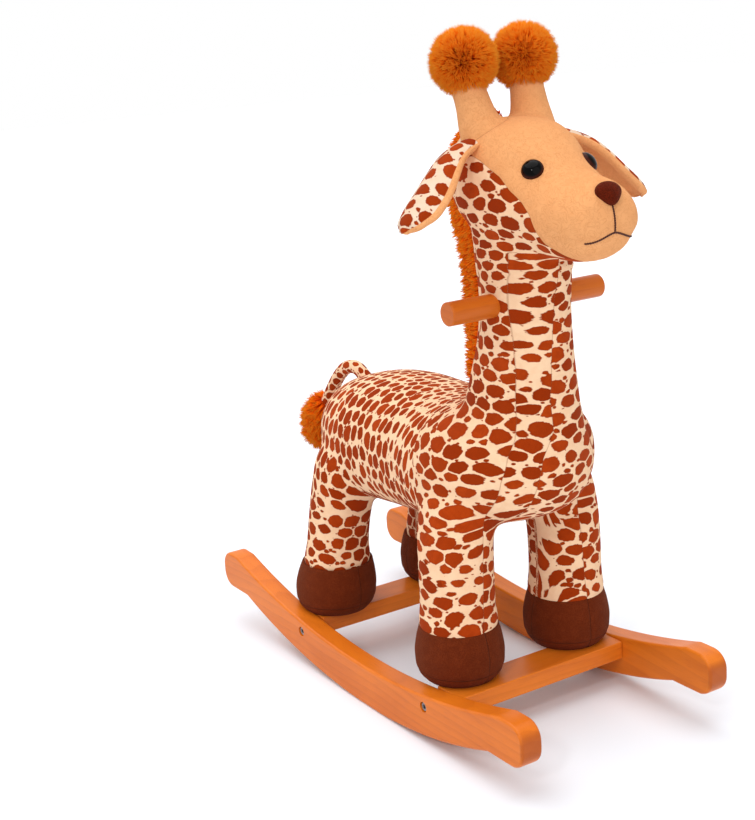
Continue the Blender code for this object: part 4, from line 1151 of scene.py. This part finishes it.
def addTree(obj, name, tree, sockets, values):
    modifier = obj.modifiers.new(name, "NODES")
    modifier.node_group = tree
    for label, value in values.items():
        modifier[sockets[label]] = value


def makeFurTree():
    tree, sockets, given = newTree("furLocks", [
        ("Geometry", "NodeSocketGeometry", None), ("Lock", "NodeSocketObject", None),
        ("Density", "NodeSocketFloat", 100000.0), ("Length", "NodeSocketFloat", 0.012),
        ("Width", "NodeSocketFloat", 1.0), ("Shortest", "NodeSocketFloat", 0.8),
        ("Tilt", "NodeSocketFloat", 0.2), ("Seed", "NodeSocketInt", 1),
        ("Material", "NodeSocketMaterial", None)])
    scatter = addNode(tree, "GeometryNodeDistributePointsOnFaces", {
        "Mesh": given["Geometry"], "Density": given["Density"], "Seed": given["Seed"]})
    way = addNode(tree, "GeometryNodeInputNamedAttribute", {"Name": "combWay"}, data_type="FLOAT_VECTOR")
    size = addNode(tree, "GeometryNodeInputNamedAttribute", {"Name": "combLength"}, data_type="FLOAT")
    aligned = addNode(tree, "FunctionNodeAlignRotationToVector", {"Vector": way.outputs["Attribute"]},
                      axis="Z")
    back = calc(tree, "MULTIPLY", given["Tilt"], -1.0)
    lowest = addNode(tree, "ShaderNodeCombineXYZ", {0: back, 1: back, 2: -math.pi})
    highest = addNode(tree, "ShaderNodeCombineXYZ", {0: given["Tilt"], 1: given["Tilt"], 2: math.pi})
    wild = addNode(tree, "FunctionNodeRandomValue", {0: lowest.outputs[0], 1: highest.outputs[0],
                                                     "Seed": given["Seed"]}, data_type="FLOAT_VECTOR")
    turn = addNode(tree, "FunctionNodeEulerToRotation", {0: wild.outputs[0]})
    turned = addNode(tree, "FunctionNodeRotateRotation", {0: aligned.outputs[0], 1: turn.outputs[0]},
                     rotation_space="LOCAL")
    share = addNode(tree, "FunctionNodeRandomValue", {2: given["Shortest"], 3: 1.0, "Seed": 11},
                    data_type="FLOAT").outputs[1]
    length = calc(tree, "MULTIPLY", calc(tree, "MULTIPLY", share, given["Length"]),
                  size.outputs["Attribute"])
    scale = addNode(tree, "ShaderNodeCombineXYZ", {0: given["Width"], 1: given["Width"], 2: length})
    lock = addNode(tree, "GeometryNodeObjectInfo", {"Object": given["Lock"], "As Instance": True})
    spread = addNode(tree, "GeometryNodeInstanceOnPoints", {
        "Points": scatter.outputs["Points"], "Instance": lock.outputs["Geometry"],
        "Rotation": turned.outputs[0], "Scale": scale.outputs[0]})
    tone = addNode(tree, "FunctionNodeRandomValue", {2: 0.0, 3: 1.0, "Seed": 5}, data_type="FLOAT")
    toned = addNode(tree, "GeometryNodeStoreNamedAttribute", {
        "Geometry": spread.outputs[0], "Name": "lockTone", "Value": tone.outputs[1]},
        data_type="FLOAT", domain="INSTANCE")
    both = addNode(tree, "GeometryNodeJoinGeometry")
    tree.links.new(given["Geometry"], both.inputs[0])
    tree.links.new(toned.outputs[0], both.inputs[0])
    endTree(tree, both.outputs[0], given["Material"])
    return tree, sockets


furTree, furSockets = makeFurTree()
furLock = makeLock("furLock", furLook["seed"])


def growFur(core, look, ways, lengths):
    attribute(core.data, "combWay", ways)
    attribute(core.data, "combLength", lengths)
    # The core takes a colour near the roots' painted shade, so it shows as painted shade between the
    # locks.
    attribute(core.data, "furShare", np.full(len(core.data.vertices), furLook["coreShare"]))
    values = {label: look[label.lower()]
              for label in ("Density", "Length", "Width", "Shortest", "Tilt", "Seed")}
    addTree(core, "fur", furTree, furSockets, dict(values, Lock=furLock, Material=furMaterial))
    core.data.update()
    applied(core)
    shadeSmooth(core)


pompomLook = {"core": 0.0185, "density": 640000, "length": 0.0178, "width": 1.0, "shortest": 0.8,
              "tilt": 0.34, "seed": 3, "sag": 0.06}


def makePompom(side):
    look = pompomLook
    pompom = shapedObject("pompom_" + sideNames[side] + "_fur", bmesh.ops.create_icosphere,
                          subdivisions=4, radius=look["core"])
    points = pointsOf(pompom.data)
    setPoints(pompom.data, points + np.array(pompomShape["centre"]) * (side, 1, 1))
    growFur(pompom, dict(look, seed=look["seed"] + side),
            points / look["core"] - np.array((0, 0, look["sag"])), np.ones(len(points)))
    placed(pompom, "giraffe", "orange_fur", "pompom_" + sideNames[side])


for side in (-1, 1):
    makePompom(side)
print("pompoms made")

maneLook = {"halfWidth": 0.0066, "coreShare": 0.88, "coreInset": 0.003, "coreLeast": 0.004,
            "rootDepth": 0.008, "rings": 60, "sides": 24, "squareness": 2.4, "density": 126000,
            "length": 0.0170, "width": 1.5, "shortest": 0.7, "tilt": 0.26, "seed": 21, "lean": 0.4,
            "foot": (-0.004, 0.004), "footShare": 0.15, "crown": (0.565, 0.600), "crownTrim": 0.65}
maneSpine = [  # y and z of the skin behind the head and neck, and how far the mane stands out
    (-0.112, 0.608, 0.007), (-0.088, 0.593, 0.024), (-0.081, 0.552, 0.045), (-0.095, 0.495, 0.045),
    (-0.100, 0.440, 0.040), (-0.095, 0.390, 0.034), (-0.077, 0.342, 0.013)]


def makeMane():
    look = maneLook
    rows = throughRows(maneSpine, look["rings"], 2)
    spine = np.stack([np.zeros(len(rows)), rows[:, 0], rows[:, 1]], 1)
    along = np.gradient(spine, axis=0)
    along /= np.linalg.norm(along, axis=1)[:, None]
    away = np.cross(along, (1.0, 0, 0))
    away *= np.sign(away[:, 1])[:, None]
    rings = []
    for point, out, rise in zip(spine, away, rows[:, 2]):
        core = max(rise * look["coreShare"] - look["coreInset"], look["coreLeast"])
        centre = point + out * (core - look["rootDepth"]) / 2
        rings.append(ovalRing(centre, (1, 0, 0), out, look["halfWidth"], (core + look["rootDepth"]) / 2,
                              look["sides"], look["squareness"]))
    mane = loft("mane_fur", rings, 0.003, 0.003)
    points = pointsOf(mane.data)
    normals = normalsOf(mane.data)
    nearest = np.argmin(((points[:, None] - spine[None]) ** 2).sum(2), 1)
    lean = away[nearest] + along[nearest] * look["lean"] + normals * look["lean"]
    standing = ((points - spine[nearest]) * away[nearest]).sum(1)
    lengths = ease(standing, *look["foot"]) * (1 - look["footShare"]) + look["footShare"]
    lengths *= 1 - look["crownTrim"] * ease(points[:, 2], *look["crown"])
    growFur(mane, look, lean, lengths)
    placed(mane, "giraffe", "orange_fur", "mane")


makeMane()
print("mane made")

# Ears

earShape = {"root": (0.0534, -0.143, 0.5885), "length": 0.112, "rootHalfWidth": 0.0125,
            "thickness": 0.0175, "widest": 2.3, "rootDroop": 15, "tipDroop": 43, "bendShare": 0.35,
            "bendSteps": 20, "sweep": 7, "twist": -7, "twistShare": 0.4, "cup": 0.0075, "rings": 72,
            "sides": 72, "rim": (0.43, 0.78), "hollow": -0.2, "hollowFrom": (0.08, 0.3),
            "lining": (0.42, -0.042), "tipLining": -0.002, "seamDepth": 0.0007, "seamWidth": 0.0011,
            "spotAlong": 0.0165, "spotAcross": 0.0215, "spotShift": (9, 4.4),
            "blendStart": (0.004, 0, 0), "blendEnd": (0.016, 0, -0.004)}
earShares = [  # share of the length, of the root width, of the thickness and of the cup
    (-0.046, 0.45, 0.19, 0.0), (-0.033, 0.85, 0.50, 0.0), (0.0, 1.0, 0.63, 0.0), (0.12, 1.20, 0.78, 0.15),
    (0.35, 1.90, 1.0, 0.7), (0.62, 2.3, 1.0, 1.0), (0.86, 1.95, 0.9, 0.85), (0.96, 1.15, 0.65, 0.6),
    (0.986, 0.66, 0.44, 0.5)]


def earDroop(share):
    look = earShape
    bent = min(max(share, 0) / look["bendShare"], 1)
    return math.radians(look["rootDroop"] + (look["tipDroop"] - look["rootDroop"]) * bent)


def earPoint(share):
    outward = lift = 0.0
    steps = earShape["bendSteps"]
    for index in range(steps):
        droop = earDroop(share * (index + 0.5) / steps)
        outward += math.cos(droop) * share * earShape["length"] / steps
        lift -= math.sin(droop) * share * earShape["length"] / steps
    return outward, lift


def makeEar(side):
    look = earShape
    name = sideNames[side]
    root = Vector(look["root"])
    root.x *= side
    backward = Vector((0, 1, 0))
    halfThick = look["thickness"] / 2
    angle = np.arange(look["sides"]) * math.tau / look["sides"]
    lean = np.cos(angle)
    rings, lining, patterns = [], [], []
    for share, wide, thick, cup in throughRows(earShares, look["rings"], 1):
        outward, lift = earPoint(share)
        droop = earDroop(share)
        reach = max(share, 0)
        sweep = reach * look["length"] * math.tan(math.radians(look["sweep"]))
        twist = math.radians(look["twist"]) * min(reach / look["twistShare"], 1)
        out = Vector((side * math.sin(droop), 0, math.cos(droop)))
        width = backward * math.cos(twist) + out * math.sin(twist)
        face = out * math.cos(twist) - backward * math.sin(twist)
        centre = root + Vector((side * outward, -sweep, lift))
        sunk = (1 - ease(np.abs(lean), *look["rim"])) * ease(share, *look["hollowFrom"])
        rise = np.sin(angle)
        rise = np.where(rise < 0, rise * (1 - (1 - look["hollow"]) * sunk), rise)
        halfWide = look["rootHalfWidth"] * wide
        bend = look["cup"] * cup * (lean * wide / look["widest"]) ** 2
        rings.append(np.array(centre) + np.outer(lean * halfWide, width)
                     + np.outer(rise * halfThick * thick - bend, face))
        lining.append((np.where(lean < 0, *look["lining"]) - np.sin(angle)) * halfThick * thick)
        cells = share * look["length"] / look["spotAlong"] + look["spotShift"][0] * side
        patterns.append(flatPlace(np.full(len(angle), cells),
                                  lean * halfWide / look["spotAcross"] + look["spotShift"][1]))
    ear = loft("ear_" + name + "_cloth", rings, 0.002, 0.003)
    mesh = ear.data
    points = pointsOf(mesh)

    def spread(rows, poleRows):
        rows = [rows[0]] * len(capAngles) + rows + [rows[-1]] * len(capAngles)
        return np.concatenate(rows + poleRows)

    line = spread(lining, [lining[0][:1], np.array([look["tipLining"]])])
    attribute(mesh, "liningLine", line)
    attribute(mesh, "clothPlace", points)
    attribute(mesh, "spotPlace", spread(patterns, [patterns[0][:1], patterns[-1][:1]]))
    points -= normalsOf(mesh) * (look["seamDepth"] * groove(line, look["seamWidth"]))[:, None]
    setPoints(mesh, points)
    mesh.materials.append(earCloth)
    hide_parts("ear_" + name)
    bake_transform(ear)


for side in (-1, 1):
    makeEar(side)
print("ears made")

# Eyes, nose and mouth

eyeLook = {"radius": 0.0105, "height": 0.0074, "sides": 64, "sink": 0.0012, "domeStep": 6,
           "back": [(0.0100, -0.001), (0.003, -0.0022)]}


def turnTo(direction):
    return Vector((0, 0, 1)).rotation_difference(Vector(direction)).to_matrix().to_4x4()


def makeEye(side):
    look = eyeLook
    centre, outward = skinAt((side * eyePlace[0], -1, eyePlace[1]), (0, 1, 0))
    profile = [(0.0002, look["height"])]
    for angle in np.radians(range(90 - look["domeStep"], -1, -look["domeStep"])):
        profile.append((look["radius"] * math.cos(angle), look["height"] * math.sin(angle)))
    rings = [ovalRing((0, 0, z), (1, 0, 0), (0, 1, 0), radius, radius, look["sides"])
             for radius, z in profile + look["back"]]
    eye = loft("eye_" + sideNames[side] + "_dome", rings, 0.00001, 0.0001)
    points = pointsOf(eye.data)
    attribute(eye.data, "eyeShare", np.hypot(points[:, 0], points[:, 1]) / look["radius"])
    eye.data.transform(Matrix.Translation(centre - outward * look["sink"]) @ turnTo(outward))
    eye.data.materials.append(eyePlastic)
    placed(eye, "giraffe", "black_plastic", "eye_" + sideNames[side])


for side in (-1, 1):
    makeEye(side)

noseLook = {"z": 0.5480, "halfWidth": 0.0140, "halfHeight": 0.0115, "depth": 0.0085,
            "narrowing": 0.34, "narrowFrom": (-0.25, 1.0), "shoulders": 0.10}


def makeNose():
    look = noseLook
    centre, outward = skinAt((0, -1, look["z"]), (0, 1, 0))
    nose = shapedObject("nose_cloth", bmesh.ops.create_uvsphere, u_segments=64, v_segments=40, radius=1.0)
    mesh = nose.data
    x, y, z = pointsOf(mesh).T
    narrow = 1 - look["narrowing"] * ease(-z, *look["narrowFrom"])
    tall = 1 + look["shoulders"] * x ** 2 * (z > 0)
    setPoints(mesh, np.stack([x * look["halfWidth"] * narrow, y * look["depth"],
                              z * look["halfHeight"] * tall], 1))
    shadeSmooth(nose)
    tilt = math.atan2(outward.z, -outward.y)
    mesh.transform(Matrix.Translation(centre) @ Matrix.Rotation(-tilt, 4, "X"))
    attribute(mesh, "clothPlace", pointsOf(mesh))
    mesh.materials.append(noseCloth)
    placed(nose, "giraffe", "nose_plush", "nose")


makeNose()

mouthLook = {"drop": [(0.0, 0.5385), (0.0, 0.530), (0.0, 0.522), (0.0, 0.5144)],
             "lip": [(0.0, 0.5144), (0.0055, 0.5130), (0.0110, 0.5110), (0.0165, 0.5090),
                     (0.0221, 0.5074), (0.0262, 0.5068)],
             "thread": 0.0010, "stitch": 0.0020, "steps": 40, "lift": 0.0001, "slant": 0.22,
             "beadShare": 0.72}


def makeThread(name, places, side):
    # A line on the skin, to lay satin stitches along.
    path = []
    for x, z in throughRows(places, mouthLook["steps"], 2):
        point, normal = skinAt((side * x, -1, z), (0, 1, 0))
        path.append(point + normal * mouthLook["lift"])
    curve = bpy.data.curves.new(name, "CURVE")
    curve.dimensions = "3D"
    spline = curve.splines.new("POLY")
    spline.points.add(len(path) - 1)
    for spot, point in zip(spline.points, path):
        spot.co = (*point, 1)
    return newObject(name, curve)


def makeStitchTree():
    tree, sockets, given = newTree("satinStitches", [
        ("Geometry", "NodeSocketGeometry", None), ("Stitch", "NodeSocketFloat", 0.0017),
        ("Thread", "NodeSocketFloat", 0.0007), ("Material", "NodeSocketMaterial", None)])
    evened = addNode(tree, "GeometryNodeCurveToPoints", {"Curve": given["Geometry"],
                                                         "Length": given["Stitch"]}, mode="LENGTH")
    bead = addNode(tree, "GeometryNodeMeshIcoSphere", {"Radius": 1.0, "Subdivisions": 2})
    turned = addNode(tree, "FunctionNodeAlignRotationToVector", {"Vector": evened.outputs["Tangent"]},
                     axis="Z")
    slant = addNode(tree, "FunctionNodeRotateRotation",
                    {0: turned.outputs[0], 1: (mouthLook["slant"], 0.0, 0.0)}, rotation_space="LOCAL")
    long = calc(tree, "MULTIPLY", given["Stitch"], mouthLook["beadShare"])
    size = addNode(tree, "ShaderNodeCombineXYZ", {0: given["Thread"], 1: given["Thread"], 2: long})
    laid = addNode(tree, "GeometryNodeInstanceOnPoints", {
        "Points": evened.outputs["Points"], "Instance": bead.outputs["Mesh"],
        "Rotation": slant.outputs[0], "Scale": size.outputs[0]})
    endTree(tree, laid.outputs[0], given["Material"])
    return tree, sockets


def makeThreadMaterial():
    material, tree, shader = newMaterial("mouthThread", {"Roughness": 0.6, "Specular IOR Level": 0.3})
    twist = hazeOf(tree, 2500.0)
    tree.links.new(mixColor(tree, twist, color(88, 36, 18), color(44, 16, 8)),
                   shader.inputs["Base Color"])
    setBump(tree, shader, twist, 0.0001, 0.6)
    return material


def makeMouth():
    stitchTree, stitchSockets = makeStitchTree()
    threadMaterial = makeThreadMaterial()
    parts = []
    for name, places, side in (("mouthDrop", mouthLook["drop"], 1), ("mouthRight", mouthLook["lip"], -1),
                               ("mouthLeft", mouthLook["lip"], 1)):
        thread = makeThread(name, places, side)
        addTree(thread, "stitches", stitchTree, stitchSockets,
                {"Stitch": mouthLook["stitch"], "Thread": mouthLook["thread"],
                 "Material": threadMaterial})
        thread.data.update_tag()
        mesh = bpy.data.meshes.new_from_object(
            thread.evaluated_get(bpy.context.evaluated_depsgraph_get()))
        bpy.data.objects.remove(thread)
        parts.append(newObject(name, mesh))
    mouth = joined("mouth_stitches", parts)
    shadeSmooth(mouth)
    mouth.data.materials.append(threadMaterial)
    placed(mouth, "giraffe", "nose_plush")


makeMouth()
print("face made")

# Tail and its tuft

tailShape = {"root": (0.0, 0.150, 0.3052), "radius": 0.0078, "rings": 70, "sides": 32,
             "path": [(-0.006, -0.003), (0.0, 0.0), (0.013, 0.0065), (0.027, 0.0070), (0.042, 0.0020),
                      (0.057, -0.0095), (0.071, -0.0245), (0.083, -0.0395), (0.091, -0.0510)],
             "spotsAlong": 9.0, "spotsAround": 0.85, "spotShift": 20, "blendStart": (0, -0.003, -0.002),
             "blendEnd": (0, 0.014, 0.009)}
tuftLook = {"hang": (0.0, 0.42, -0.91), "core": 0.0150, "coreLength": 0.048, "rings": 30, "sides": 40,
            "sections": [(-0.10, 0.40), (0.0, 0.72), (0.22, 0.97), (0.5, 1.0), (0.78, 0.8), (0.95, 0.4)],
            "density": 260000, "length": 0.0200, "width": 1.0, "shortest": 0.72, "tilt": 0.26, "seed": 41,
            "outward": 0.75, "along": 0.6, "rearward": 0.22}


def makeTail():
    look = tailShape
    root = np.array(look["root"])
    rows = throughRows(look["path"], look["rings"], 2)
    spine = root + np.stack([np.zeros(len(rows)), rows[:, 0], rows[:, 1]], 1)
    along = np.gradient(spine, axis=0)
    along /= np.linalg.norm(along, axis=1)[:, None]
    across = np.array((1.0, 0, 0))
    rings = [ovalRing(point, (1, 0, 0), np.cross(way, across), look["radius"], look["radius"],
                      look["sides"]) for point, way in zip(spine, along)]
    tail = loft("tail_cloth", rings, 0.004, 0.006)
    points = pointsOf(tail.data)
    attribute(tail.data, "clothPlace", points)
    nearest = np.linalg.norm(points[:, None] - spine[None], axis=2).argmin(1)
    over = ((points - spine[nearest]) * np.cross(across, along[nearest])).sum(1)
    angle = np.arctan2(points[:, 0], over)
    attribute(tail.data, "spotPlace", flatPlace(nearest / look["rings"] * look["spotsAlong"],
                                                angle * look["spotsAround"] + look["spotShift"]))
    attribute(tail.data, "liningLine", np.full(len(points), -farAway))
    tail.data.materials.append(tailCloth)
    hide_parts("tail")
    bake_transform(tail)
    return spine[-1]


def makeTuft(tip):
    look = tuftLook
    hang = np.array(look["hang"])
    hang /= np.linalg.norm(hang)
    across = np.array((1.0, 0, 0))
    up = np.cross(hang, across)
    rings = []
    for share, wide in throughRows(look["sections"], look["rings"], 2):
        radius = look["core"] * wide
        rings.append(ovalRing(tip + hang * share * look["coreLength"], across, up, radius, radius,
                              look["sides"]))
    tuft = loft("tail_tuft_fur", rings, 0.003, 0.003)
    normals = normalsOf(tuft.data)
    ways = normals * look["outward"] + hang * look["along"] + np.array((0, look["rearward"], 0))
    growFur(tuft, look, ways, np.ones(len(normals)))
    placed(tuft, "tail", "orange_fur", "tail_tuft")


makeTuft(makeTail())
print("tail made")

# Rockers, slats, handle and bolts

rockerShape = {"thickness": 0.024, "spacing": 0.212, "middleY": -0.0115, "frontReach": 0.280,
               "rearReach": 0.303, "depth": 0.045, "lowOffset": -0.014, "frontRadius": 0.645,
               "rearRadius": 0.812, "restFlat": 0.044, "topRadius": 0.89, "facet": 0.0065,
               "toeLength": 0.055, "toeHeight": 0.044, "toeCorner": 0.018, "topSteps": 70,
               "edge": 0.0030}


def roundedOutline(corners, steps=10):
    # A corner with a radius becomes an arc.
    points = []
    for index, (corner, radius) in enumerate(corners):
        corner = Vector(corner)
        if radius == 0:
            points.append(corner)
            continue
        before = (Vector(corners[index - 1][0]) - corner).normalized()
        after = (Vector(corners[(index + 1) % len(corners)][0]) - corner).normalized()
        half = before.angle(after) / 2
        centre = corner + (before + after).normalized() * radius / math.sin(half)
        first = corner + before * radius / math.tan(half) - centre
        last = corner + after * radius / math.tan(half) - centre
        sweep = first.angle_signed(last)
        for count in range(steps + 1):
            points.append(centre + Matrix.Rotation(-sweep * count / steps, 2) @ first)
    return points


def runnerZ(offset):
    look = rockerShape
    distance = offset - look["lowOffset"]
    radius = look["frontRadius"] if distance < 0 else look["rearRadius"]
    flat = look["restFlat"] / 2
    return radius - math.sqrt(radius ** 2 - distance ** 2) - (radius - math.sqrt(radius ** 2 - flat ** 2))


def runnerPoints(reach):
    look = rockerShape
    side = math.copysign(1, reach)
    points, distance = [], look["restFlat"] / 2
    while distance < abs(reach - look["lowOffset"]):
        points.append(look["lowOffset"] + side * distance)
        distance += look["facet"]
    return points + [reach]


def rockerOutline():
    look = rockerShape
    front = runnerPoints(look["toeLength"] - look["frontReach"])
    rear = runnerPoints(look["rearReach"] - look["toeLength"])
    frontToe, rearToe = runnerZ(front[-1]), runnerZ(rear[-1])
    corners = [((-look["frontReach"], frontToe), look["toeCorner"])]
    corners += [((offset, runnerZ(offset)), 0) for offset in front[::-1] + rear]
    corners += [((look["rearReach"], rearToe), look["toeCorner"]),
                ((look["rearReach"], rearToe + look["toeHeight"]), look["toeCorner"])]
    topEnd = look["rearReach"] - 2 * look["toeCorner"]
    topStart = 2 * look["toeCorner"] - look["frontReach"]
    for offset in np.linspace(topEnd, topStart, look["topSteps"]):
        top = look["depth"] + look["topRadius"] - math.sqrt(look["topRadius"] ** 2 - offset ** 2)
        corners.append(((float(offset), top), 0))
    corners.append(((-look["frontReach"], frontToe + look["toeHeight"]), look["toeCorner"]))
    return roundedOutline(corners)


def softenEdges(obj, width, segments=3, angle=35):
    bevel = obj.modifiers.new("edges", "BEVEL")
    bevel.width = width
    bevel.segments = segments
    bevel.limit_method = "ANGLE"
    bevel.angle_limit = math.radians(angle)
    bevel.harden_normals = True
    return applied(obj)


def cylinder(name, radius, start, end, sides=48):
    start, end = Vector(start), Vector(end)
    obj = shapedObject(name, bmesh.ops.create_cone, cap_ends=True, segments=sides, radius1=radius,
                       radius2=radius, depth=(end - start).length)
    obj.data.transform(Matrix.Translation((start + end) / 2) @ turnTo(end - start))
    return obj


boltLook = {"radius": 0.0048, "clearance": 0.0007, "depth": 0.0042, "sides": 48, "shank": 0.003,
            "shankInset": 0.0003, "under": -0.0036, "headFoot": -0.0034, "edge": -0.0007,
            "edgeInset": 0.0006, "socket": 0.0026,
            "socketRings": [(1.12, 0.0), (1.0, -0.0002), (1.0, -0.0022), (0.4, -0.0022)]}
edgeWidths = {"slat": 0.0016, "handle": 0.0014}


def boltEnds(row, side):
    low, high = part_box("rocker_bolt_%s_%s" % (row, sideNames[side]))
    outer = low.x if side < 0 else high.x
    return Vector((outer, (low.y + high.y) / 2, (low.z + high.z) / 2))


def makeRocker(side):
    look = rockerShape
    outline = rockerOutline()
    inner = look["spacing"] / 2
    near, far = side * inner, side * (inner + look["thickness"])
    count = len(outline)
    points = [(x, p[0] + look["middleY"], p[1]) for x in (near, far) for p in outline]
    faces = [tuple(range(count)), tuple(range(2 * count - 1, count - 1, -1))]
    faces += bandFaces(2, count)
    rocker = meshObject("rocker_" + sideNames[side] + "_wood", points, faces)
    softenEdges(rocker, look["edge"])
    for row in ("front", "rear"):
        head = boltEnds(row, side)
        depth = Vector((side * boltLook["depth"], 0, 0))
        past = Vector((side * 0.01, 0, 0))  # the cutter runs out past the wood
        pocket = cylinder("pocket", boltLook["radius"] + boltLook["clearance"], head - depth, head + past)
        hole = rocker.modifiers.new("hole", "BOOLEAN")
        hole.object = pocket
        hole.solver = "EXACT"
        applied(rocker)
        bpy.data.objects.remove(pocket)
    rocker.data.materials.clear()
    rocker.data.materials.append(rockerWood[side])
    placed(rocker, "giraffe", "stained_wood", "rocker_" + sideNames[side])


def makeBolt(row, side):
    # Socket bolt: head, hexagon socket and shank.
    look = boltLook
    label = row + "_" + sideNames[side]
    low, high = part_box("rocker_bolt_" + label)
    count = look["sides"]
    angle = np.arange(count) * math.tau / count
    hexagon = look["socket"] * math.cos(math.pi / 6) / np.cos((angle % (math.pi / 3)) - math.pi / 6)
    radius = look["radius"]
    profile = [(look["shank"], low.x - high.x + look["shankInset"]), (look["shank"], look["under"]),
               (radius, look["headFoot"]), (radius, look["edge"]), (radius - look["edgeInset"], 0.0)]
    profile += [(hexagon * share, z) for share, z in look["socketRings"]]
    rings = [np.stack([np.cos(angle) * r, np.sin(angle) * r, np.full(count, z)], 1) for r, z in profile]
    faces = bandFaces(len(rings), count)
    faces.append(tuple(range(count))[::-1])
    faces.append(tuple(range((len(rings) - 1) * count, len(rings) * count)))
    bolt = meshObject("bolt_" + label + "_steel", np.concatenate(rings), faces, smooth=False)
    bolt.data.transform(Matrix.Translation(boltEnds(row, side)) @ turnTo((side, 0, 0)))
    bolt.data.materials.append(steel)
    placed(bolt, "giraffe", "steel", "rocker_bolt_" + label)


def makeSlat(row):
    low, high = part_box(row + "_slat")
    corners = [(x, y, z) for x in (low.x, high.x) for y in (low.y, high.y) for z in (low.z, high.z)]
    faces = [(0, 1, 3, 2), (4, 6, 7, 5), (0, 4, 5, 1), (2, 3, 7, 6), (0, 2, 6, 4), (1, 5, 7, 3)]
    slat = meshObject(row + "_slat_wood", corners, faces)
    softenEdges(slat, edgeWidths["slat"])
    slat.data.materials.append(slatWood)
    placed(slat, "giraffe", "stained_wood", row + "_slat")


def makeHandle():
    low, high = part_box("handle_bar")
    middle = (low + high) / 2
    bar = cylinder("handle_bar_wood", (high.z - low.z) / 2, (low.x, middle.y, middle.z),
                   (high.x, middle.y, middle.z), 96)
    shadeSmooth(bar)
    softenEdges(bar, edgeWidths["handle"])
    bar.data.materials.append(handleWood)
    placed(bar, "giraffe", "stained_wood", "handle_bar")


for side in (-1, 1):
    makeRocker(side)
    for row in ("front", "rear"):
        makeBolt(row, side)
makeSlat("front")
makeSlat("rear")
makeHandle()
print("rockers made")

# The wooden frame inside keeps its CAD shapes

hiddenFinishes = {"steel": steel, "raw_wood": bareWood, "washer_plastic": washerPlastic}
slotOf = {part["node"]: part["material_slot"] for part in frame["record"]["subparts"]}
for name, node in frame["nodes"].items():
    finish = hiddenFinishes.get(slotOf.get(name))
    if finish and not node.hide_render:
        node.data.materials.clear()
        node.data.materials.append(finish)

# Floor, light and view

bpy.data.objects.remove(furLock)
studio = {"floor": (0.845, 0.89, 0.945), "floorHalf": 8.0, "sky": 0.47}
suns = {"keyLight": {"strength": 2.45, "from": (-0.12, 0.22, 1.2), "angle": 75},
        "fillLight": {"strength": 0.72, "from": (-0.22, -1.0, 0.5), "angle": 60},
        "sparkLight": {"strength": 0.45, "from": (-0.85, -0.55, 0.75), "angle": 6}}  # glints in the eyes


def makeFloor():
    material, _, shader = newMaterial("paleFloor", {"Roughness": 0.9, "Specular IOR Level": 0.1})
    shader.inputs["Base Color"].default_value = studio["floor"] + (1.0,)
    half = studio["floorHalf"]
    corners = [(-half, -half, 0), (half, -half, 0), (half, half, 0), (-half, half, 0)]
    floor = meshObject("studioFloor", corners, [(0, 1, 2, 3)], smooth=False)
    floor.data.materials.append(material)


def makeSun(name, look):
    data = bpy.data.lights.new(name, "SUN")
    data.energy = look["strength"]
    data.angle = math.radians(look["angle"])
    sun = newObject(name, data)
    sun.rotation_euler = Vector(look["from"]).to_track_quat("Z", "Y").to_euler()


def makeSky():
    world = bpy.data.worlds.new("studioSky")
    scene.world = world
    world.use_nodes = True
    tree = world.node_tree
    background = tree.nodes["Background"]
    background.inputs["Color"].default_value = (1, 1, 1, 1)
    path = addNode(tree, "ShaderNodeLightPath")
    seen = calc(tree, "MAXIMUM", path.outputs["Is Camera Ray"],
                calc(tree, "MAXIMUM", path.outputs["Is Glossy Ray"], path.outputs["Is Transmission Ray"]))
    strength = addNode(tree, "ShaderNodeMapRange", {0: seen, 3: studio["sky"], 4: 1.0}).outputs[0]
    tree.links.new(strength, background.inputs["Strength"])


makeFloor()
for name, look in suns.items():
    makeSun(name, look)
makeSky()
scene.view_settings.view_transform = "Standard"
print("studio made")
